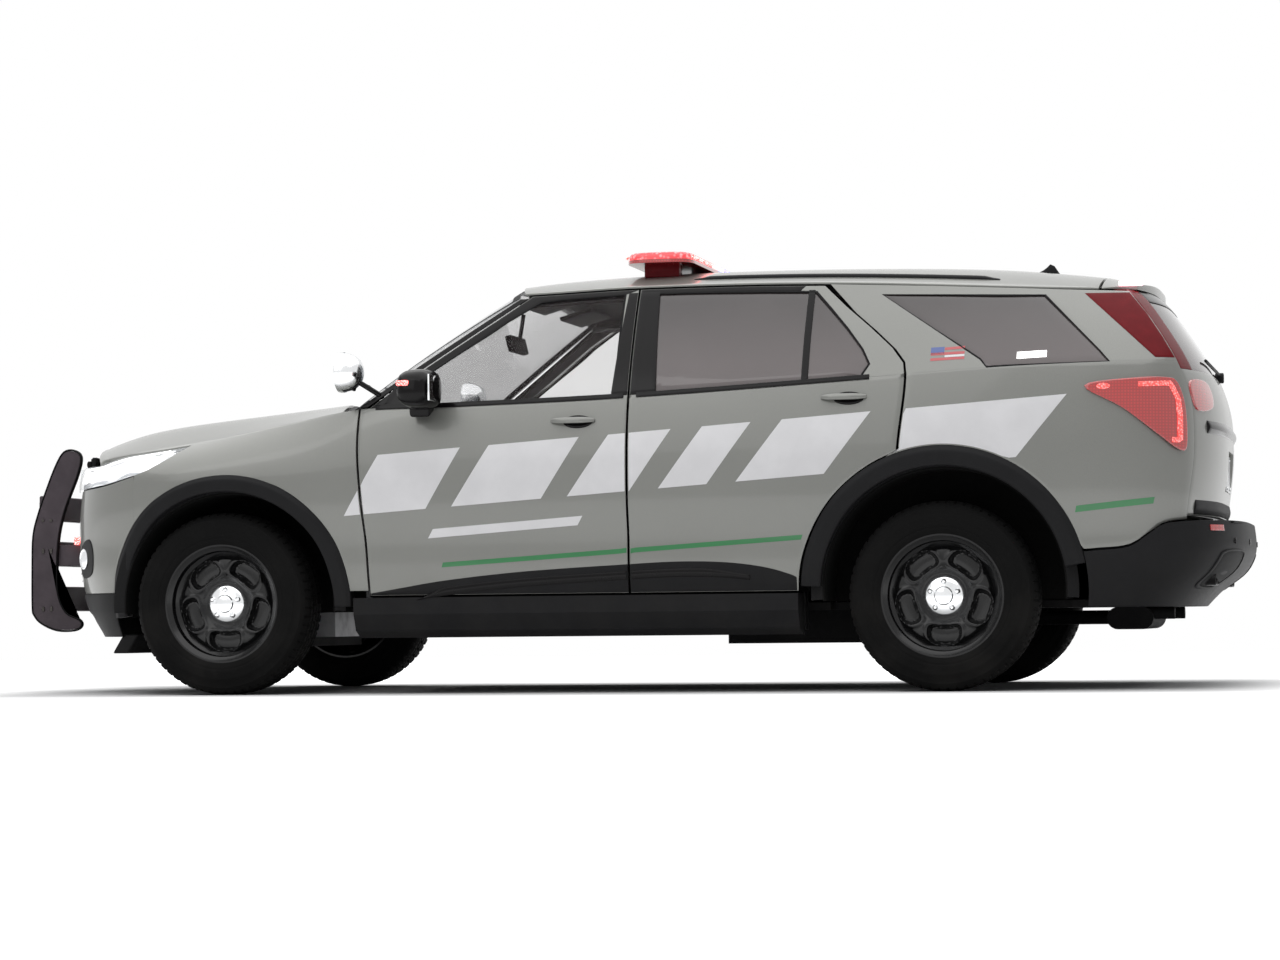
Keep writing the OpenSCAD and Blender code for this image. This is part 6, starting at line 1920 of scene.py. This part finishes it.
class SUV_OT_equipment(bpy.types.Operator):
    """Light bar, spot lamps and push bumper."""
    bl_idname = "suv.equipment"
    bl_label = "Equipment"

    def execute(self, context):
        self.light_bar()
        self.spot_lamps()
        self.push_bumper()
        return {"FINISHED"}

    def light_bar(self):
        xm, half, deep = 1795, 590, 142

        def capsule(i, grow=0.0):
            r = deep + grow
            straight = half - deep
            a = 2 * math.pi * i / 72
            c, s = math.cos(a), math.sin(a)
            p = 0.55
            return (xm + r * signed_power(c, p), (straight * math.copysign(1, s) if abs(s) > 1e-9 else 0)
                + r * signed_power(s, p))

        base = lathe_loop("light_bar_base", [(1788, 2), (1788, 0), (1802, 0), (1804, 3)], capsule, 72)
        dress(self.halved(base, -1), "body", "red", "light_bar")
        dress(self.halved(base, 1), "body", "blue")
        bpy.data.objects.remove(base, do_unlink=True)
        cover = lathe_loop("light_bar_cover", [(1803, 3), (1820, 4), (1829, 10), (1833.5, 22)], capsule,
            72)
        dress(self.halved(cover, -1), "body", "bar_red")
        dress(self.halved(cover, 1), "body", "bar_blue")
        bpy.data.objects.remove(cover, do_unlink=True)
        rows = {"lit_red": [], "lit_blue": [], "lit_white": []}
        for k in range(10):
            y = -495 + 110 * k
            key = "lit_red" if k < 5 else "lit_blue"
            if k in (4, 5):
                key = "lit_white"
            for way in (-1, 1):
                rows[key].append(block(f"bar_module_{k}_{way}", (xm + way * 140, y, 1815), (12, 92, 13),
                    3, 2))
        for key, items in rows.items():
            dress(joined(f"light_bar_{key}", items), "body", key)
        spine = block("light_bar_spine", (xm, 0, 1812), (120, 1080, 14), 4, 2)
        dress(spine, "body", "seal")
        feet = []
        for k in (-1, 1):
            z = roof_at(xm, k * 470 / roof_w(xm))[2]
            feet.append(block(f"light_bar_foot_{k}", (xm, k * 470, (z + 1788) / 2 - 2),
                (150, 62, 1790 - z + 6), 5, 2))
        # The feet share the post finish, with its painted red reflection
        dress(joined("light_bar_feet", feet), "body", "post")

    def halved(self, obj, way):
        """A closed copy of one side of a piece."""
        only(obj)
        bpy.ops.object.duplicate()
        half = named(f"{obj.name}_{'left' if way < 0 else 'right'}")
        bpy.ops.object.mode_set(mode="EDIT")
        bpy.ops.mesh.select_all(action="SELECT")
        bpy.ops.mesh.bisect(plane_co=(0, 0, 0), plane_no=(0, way, 0), use_fill=True, clear_inner=True)
        bpy.ops.object.mode_set(mode="OBJECT")
        outward(half)
        smooth(half, 35)
        return half

    def spot_lamps(self):
        cases, rims, lenses, arms = [], [], [], []
        for side in (-1, 1):
            o = (566, side * 962, 1334)
            ax = (-1, 0, 0)
            cases.append(lathe(f"spot_case_{side}",
                [(0, -60), (14, -59), (34, -54), (52, -44), (66, -28), (76, -6), (80, 14),
                (82, 24),
                (78, 24), (70, 0), (40, -40), (0, -50)], o, ax, 56, False))
            rims.append(lathe(f"spot_rim_{side}",
                [(76, 22), (84, 20), (84, 34), (82, 44), (76, 46), (74, 40)], o, ax, 56))
            lenses.append(lathe(f"spot_lens_{side}",
                [(0, 49), (30, 47), (60, 43), (77, 38), (77, 33), (0, 40)], o, ax, 56, False))
            foot = (690, side * 909.5, 1234)
            start = (586, side * 952, 1304)
            arms.append(rod(f"spot_arm_{side}", start, mix(start, foot, 0.93), 11, 24, 2))
            arms.append(rod(f"spot_yoke_{side}", (572, side * 960, 1262), (590, side * 950, 1306), 20, 24,
                5, 13))
        dress(joined("spot_lamp_cases", cases), "body", "chrome", "spot_lamps")
        dress(joined("spot_lamp_rims", rims), "body", "chrome")
        dress(joined("spot_lamp_lenses", lenses), "body", "plate")
        dress(joined("spot_lamp_arms", arms), "body", "gloss")

    def push_bumper(self):
        front = -1092
        shape = [(0, 380), (0, 560), (4, 690), (26, 780), (70, 900), (112, 1000), (148, 1056),
            (190, 1062), (222, 1036), (206, 960),
            (150, 820), (118, 700), (106, 560), (112, 430), (150, 350), (212, 318), (222, 296),
            (190, 279), (110, 280), (40, 310),
            (8, 344)]
        loop = [(front + x, z) for x, z in rounded(shape, 4)]
        plates, edges, bolts = [], [], []
        for k in (-1, 1):
            y = k * 350
            plates.append(flat_plate(f"push_plate_{k}", loop, y - 8, y + 8, (front + 70, 640)))
            edges.append(edge_band(f"push_edge_{k}", loop, y, 16, 9))
            for z in (345, 355, 600, 610, 740):
                for x in (34, 72):
                    bolts.append(rod(f"push_bolt_{k}_{z}_{x}", (front + x + 14, y - 13, z + 20),
                        (front + x + 14, y + 13, z + 20), 7, 6, 1))
        dress(joined("push_bumper_plates", plates), "body", "guard", "push_bumper")
        dress(joined("push_bumper_edges", edges), "body", "seal")
        dress(joined("push_bumper_bolts", bolts), "body", "steel")
        bars = [block(f"push_channel_{z}", (front + 42, 0, z + 55), (40, 684, 110), 8, 3)
            for z in (360, 560, 760)]
        bars += [block(f"push_arm_{k}", (-836, k * 332, 605), (392, 24, 90), 4, 2) for k in (-1, 1)]
        dress(joined("push_bumper_channels", bars), "body", "guard")
        pads = [block(f"push_pad_{z}", (front + 19, 0, z + 55), (12, 640, 60), 5, 3)
            for z in (360, 560, 760)]
        dress(joined("push_bumper_pads", pads), "body", "seal")
        lamps = [block(f"push_lamp_{k}", (-876, k * 352, 668), (44, 26, 34), 6, 3) for k in (-1, 1)]
        dress(joined("push_bumper_lamps", lamps), "body", "lit_red")


def lathe_loop(name, rows, outline, n):
    """A closed tray: rows of height and inset round an outline, with a flat top and bottom."""
    def at(i, k):
        if k in (0, len(rows) + 1):
            row = rows[0] if k == 0 else rows[-1]
            return (1795, outline(i % n, -row[1])[1] * 0.55, row[0])
        z, inset = rows[k - 1]
        x, y = outline(i % n, -inset)
        return (x, y, z)
    return closed_form(name, range(n + 1), range(len(rows) + 2), at, 35)


def flat_plate(name, loop, y0, y1, centre):
    """An upright plate between two places across the vehicle."""
    return pane(name, loop, lambda p: (p[0], y1, p[1]), lambda p: (0, y0 - y1, 0), 1,
        (1, 0.96, 0.7, 0.35, 0), 2.5, centre)


def edge_band(name, loop, y, width, reach):
    """A soft edge round a plate."""
    n = len(loop)

    def at(i, k):
        a, b = loop[(i - 1) % n], loop[(i + 1) % n]
        t = Vector((b[0] - a[0], b[1] - a[1])).normalized()
        out = Vector((t.y, -t.x))
        p = Vector(loop[i % n])
        ang = 2 * math.pi * k / 12
        q = p - out * (reach * 0.55 - reach * 0.5 * math.cos(ang))
        return (q.x, y + width * 0.75 * math.sin(ang), q.y)
    return closed_form(name, range(n + 1), range(13), at, 50)


class SUV_OT_cabin(bpy.types.Operator):
    """Dashboard, steering wheel and seats."""
    bl_idname = "suv.cabin"
    bl_label = "Cabin"

    def execute(self, context):
        x0, x1 = 634, 912
        outline = rounded([(x0, 770), (x0 + 150, 712), (x1 - 6, 815), (x1, 900), (x1 - 8, 1004),
            (x1 - 84, 1084), (x0 + 60, 1124),
            (x0, 1112)], 5)
        n = len(outline)
        c = (760, 930)

        def dash_at(i, k):
            y = mix(-690, 690, k)
            x, z = outline[i % n]
            hood = 26 * math.exp(-((y + 370) / 150)**2) * ease((z - 1000) / 80)
            tray = -16 * math.exp(-((y - 300) / 220)**2) * ease((z - 1040) / 60)
            end = ease((690 - abs(y)) / 26)
            x, z = mix(c, (x, z), 0.9 + 0.1 * end)
            return (x, y, z + hood + tray)
        dash = joined("dashboard_panel", [sheet(range(n + 1), spread(60), dash_at)])
        welded(dash)
        only(dash)
        bpy.ops.object.mode_set(mode="EDIT")
        bpy.ops.mesh.select_all(action="DESELECT")
        bpy.ops.mesh.select_non_manifold()
        bpy.ops.mesh.fill()
        bpy.ops.object.mode_set(mode="OBJECT")
        outward(dash)
        smooth(dash, 45)
        dress(dash, "body", "cabin", "dashboard")
        screen = block("dashboard_screen", (890, 0, 1035), (14, 230, 140), 6, 3, ("Y", -18))
        dress(screen, "body", "gloss")
        vents = [block(f"vent_{k}", (905, k, 985), (12, 110, 48), 5, 2) for k in (-600, -180, 180, 600)]
        dress(joined("dashboard_vents", vents), "body", "seal")
        self.steering_wheel()
        for k, name in ((-1, "left"), (1, "right")):
            self.seat(f"front_seat_{name}", 1230, k * 370, 500)
        self.seat("rear_bench", 1960, 0, 1240)
        rests = []
        for x, ys in ((1230, (-370, 370)), (1960, (-370, 370))):
            for y in ys:
                rest = self.cushion(f"head_rest_{x}_{y}", (x + 745, y, 1238), (88, 256, 176), 16)
                dress(rest, "body", "fabric")
                rests += [rod(f"rest_post_{x}_{y}_{j}", (x + 722, y + j * 60, 1080),
                    (x + 736, y + j * 60, 1170), 7, 14, 1) for j in (-1, 1)]
        dress(joined("head_rest_posts", rests), "body", "chrome", "front_seats", "rear_seat")
        return {"FINISHED"}

    def steering_wheel(self):
        o = (1060, -370, 1010)
        n = Vector((math.sin(math.radians(66)), 0, math.cos(math.radians(66))))
        ring = [(178 + 15 * math.cos(a / 12 * math.pi), 15 * math.sin(a / 12 * math.pi))
            for a in range(24)]
        rim = lathe("steering_rim", ring, o, n, 80)
        hub = lathe("steering_hub", [(0, 22), (40, 20), (58, 12), (62, 0), (56, -18), (0, -22)], o, n, 48,
            False)
        across = Vector((0, 1, 0))
        spokes = []
        for a in (0.0, math.pi, -math.pi / 2):
            d = across * math.cos(a) + n.cross(across) * math.sin(a)
            p = Vector(o) + d * 48
            q = Vector(o) + d * 170
            spokes.append(rod(f"steering_spoke_{a:.1f}", p, q, 13, 14, 3, 9))
        column = rod("steering_column", Vector(o) - n * 10, Vector(o) - n * 170, 26, 28, 3, 34)
        dress(joined("steering_wheel_rim", [rim, hub, *spokes, column]), "body", "cabin",
            "steering_wheel")

    def cushion(self, name, centre, size, crown, turn=None, channels=0):
        """A stuffed form: rounded, crowned and with sewn channels across its face."""
        hx, hy, hz = (s / 2 for s in size)

        def swell(p):
            u, v, w = p.x / hx, p.y / hy, p.z / hz
            q = (abs(u)**6 + abs(v)**6 + abs(w)**6)**(1 / 6)
            r = max(abs(u), abs(v), abs(w), 1e-6)
            f = r / q
            u, v, w = u * f, v * f, w * f
            pull = 1 - 0.035 * (1 - abs(v)**2) * abs(w)**4
            groove = 0.0
            for k in range(channels):
                at = -0.7 + 1.4 * (k + 0.5) / channels
                groove += math.exp(-((v - at) / (26 / hy))**2)
            k = min(hx, hz)
            thick = -min(groove, 1.0) * 9 / k
            if hx < hz:
                return (hx * (u * (1 + thick) + math.copysign(crown / hx,
                    u) * (1 - v * v) * (1 - w * w) * abs(u) * 0.5), hy * v * pull, hz * w)
            return (hx * u * pull, hy * v, hz * (w * (1 + thick) + math.copysign(crown / hz,
                w) * (1 - v * v) * (1 - u * u) * abs(w) * 0.5))
        return block(name, centre, size, 0, 1, turn, 20, swell)

    def seat(self, name, x, y, w):
        n = max(3, round(w / 160))
        base = self.cushion(f"{name}_base", (x + 240, y, 555), (520, w - 8, 166), 14, None, n)
        back = self.cushion(f"{name}_back", (x + 622, y, 835), (112, w - 8, 600), 14, ("Y", 14), n)
        for part in (base, back):
            dress(part, "body", "fabric")
        frame_box = block(f"{name}_frame", (x + 240, y, 415), (460, w - 40, 108), 8, 2)
        dress(frame_box, "body", "cabin")


class SUV_OT_markings(bpy.types.Operator):
    """Plain stripes and blocks on the sides."""
    bl_idname = "suv.markings"
    bl_label = "Markings"

    def execute(self, context):
        film = context.scene.suv_panel.film_mm
        zones = {
            "fender": ("body", lambda z: -400, lambda z: front_shut_x(z) - HALF_GAP - 3),
            "front": ("door_f", lambda z: front_shut_x(z) + HALF_GAP + 3,
            lambda z: SPLIT_X - HALF_GAP - 3),
            "rear": ("door_r", lambda z: SPLIT_X + HALF_GAP + 3, lambda z: rear_shut_x(z) - HALF_GAP - 3),
            "quarter": ("body", lambda z: rear_shut_x(z) + HALF_GAP + 3, lambda z: BASE + 1000),
        }

        def floor_z(x):
            d = abs(x - REAR_ARCH[0])
            r = TRIM_R[1] + 5
            return REAR_ARCH[1] + math.sqrt(r * r - d * d) if d < r else 0

        def put(tag, key, corners):
            """A four-cornered patch, cut where the panels part."""
            a, b, c, d = corners
            for zone, (body, lo, hi) in zones.items():
                xs = [p[0] for p in corners]
                if max(xs) < lo(800) + 8 or min(xs) > hi(800) - 8:
                    continue
                for side, letter in ((-1, "l"), (1, "r")):
                    def at(u, v):
                        x, z = mix(mix(a, b, u), mix(d, c, u), v)
                        x = clamp(x, lo(z), hi(z))
                        return on_side((x, max(z, floor_z(x))), film)
                    name = f"{tag}_{zone}_{letter}"
                    whole = body if body == "body" else body + letter
                    dress(slab(name, spread(24), spread(12), at, lambda p: (0, -film - 0.3, 0), side, 0),
                        whole, key)

        def base_line(s):
            return 737 + (932 - 737) * (s - 542) / 2890

        def cell(i, s0, s1):
            z0, z1 = base_line(s0), base_line(s1)
            lean = mix(148, 221, (s0 - 542) / 2890)
            h = mix(250, 246, (s0 - 542) / 2890)
            put(f"side_block_{i}", "marking", [(s0, z0), (s1, z1), (s1 + lean, z1 + h),
                (s0 + lean, z0 + h)])
        for i, (s0, s1) in enumerate(((548, 900), (1010, 1390), (1500, 1760), (1880, 2080), (2200, 2560),
                (2690, 3330))):
            cell(i, s0, s1)
        put("side_line", "marking", [(905, 640), (1540, 684), (1562, 722), (927, 678)])
        stripes = [("low_stripe_a", (961, 530), (2461, 622), 20),
            ("low_stripe_b", (3559, 716), (3863, 747), 26)]
        for tag, p, q, h in stripes:
            put(tag, "stripe", [(p[0], p[1] - h / 2), (q[0], q[1] - h / 2), (q[0] + 6, q[1] + h / 2),
                (p[0] + 6, p[1] + h / 2)])
        x, z = 2985, 1322
        put("small_block_blue", "decal_blue", [(x, z + 24), (x + 54, z + 26), (x + 54, z + 56),
            (x, z + 54)])
        for k in range(3):
            put(f"small_block_red_{k}", "decal_red",
                [(x + (56 if k == 2 else 0), z - 2 + 22 * k), (x + 136, z + 3 + 22 * k),
                (x + 136, z + 14 + 22 * k), (x + (56 if k == 2 else 0), z + 9 + 22 * k)])
        put("small_block_white", "marking", [(x + 56, z + 12), (x + 136, z + 15), (x + 136, z + 24),
            (x + 56, z + 21)])
        lamps = [slab(f"quarter_window_lamp_{side}", spread(10), spread(4), lambda u, v: on_side(
            (BASE + 306 + 118 * u, 1320 + 5 * u + 28 * v), -2), lambda p: (0, -4, 0), side, 1)
            for side in (-1, 1)]
        dress(joined("quarter_window_lamps", lamps), "body", "lit_white")
        return {"FINISHED"}


class SUV_PT_pieces(bpy.types.Panel):
    """Lists the vehicle's pieces and settings."""
    bl_idname = "SUV_PT_pieces"
    bl_label = "Police Utility Vehicle"
    bl_space_type = "VIEW_3D"
    bl_region_type = "UI"
    bl_category = "Vehicle"

    def draw(self, context):
        column = self.layout.column()
        for group in (context.scene.suv_finish, context.scene.suv_panel, context.scene.suv_wheel,
                context.scene.suv_lamp):
            for key in group.__annotations__:
                column.prop(group, key)
        for step in STEPS:
            column.operator(step.bl_idname)


GROUPS = {"suv_finish": FinishSettings, "suv_panel": PanelSettings, "suv_wheel": WheelSettings,
    "suv_lamp": LampSettings}
STEPS = (SUV_OT_stage, SUV_OT_shell, SUV_OT_doors, SUV_OT_mirrors, SUV_OT_bonnet, SUV_OT_nose,
    SUV_OT_tail, SUV_OT_trims,
    SUV_OT_wheels, SUV_OT_equipment, SUV_OT_cabin, SUV_OT_markings)


def register():
    for cls in (*GROUPS.values(), *STEPS, SUV_PT_pieces):
        bpy.utils.register_class(cls)
    for name, cls in GROUPS.items():
        setattr(bpy.types.Scene, name, bpy.props.PointerProperty(type=cls))


def unregister():
    for name in GROUPS:
        delattr(bpy.types.Scene, name)
    for cls in reversed((*GROUPS.values(), *STEPS, SUV_PT_pieces)):
        bpy.utils.unregister_class(cls)


def main():
    register()
    for step in STEPS:
        family, name = step.bl_idname.split(".")
        getattr(getattr(bpy.ops, family), name)()


if __name__ == "__main__":
    main()
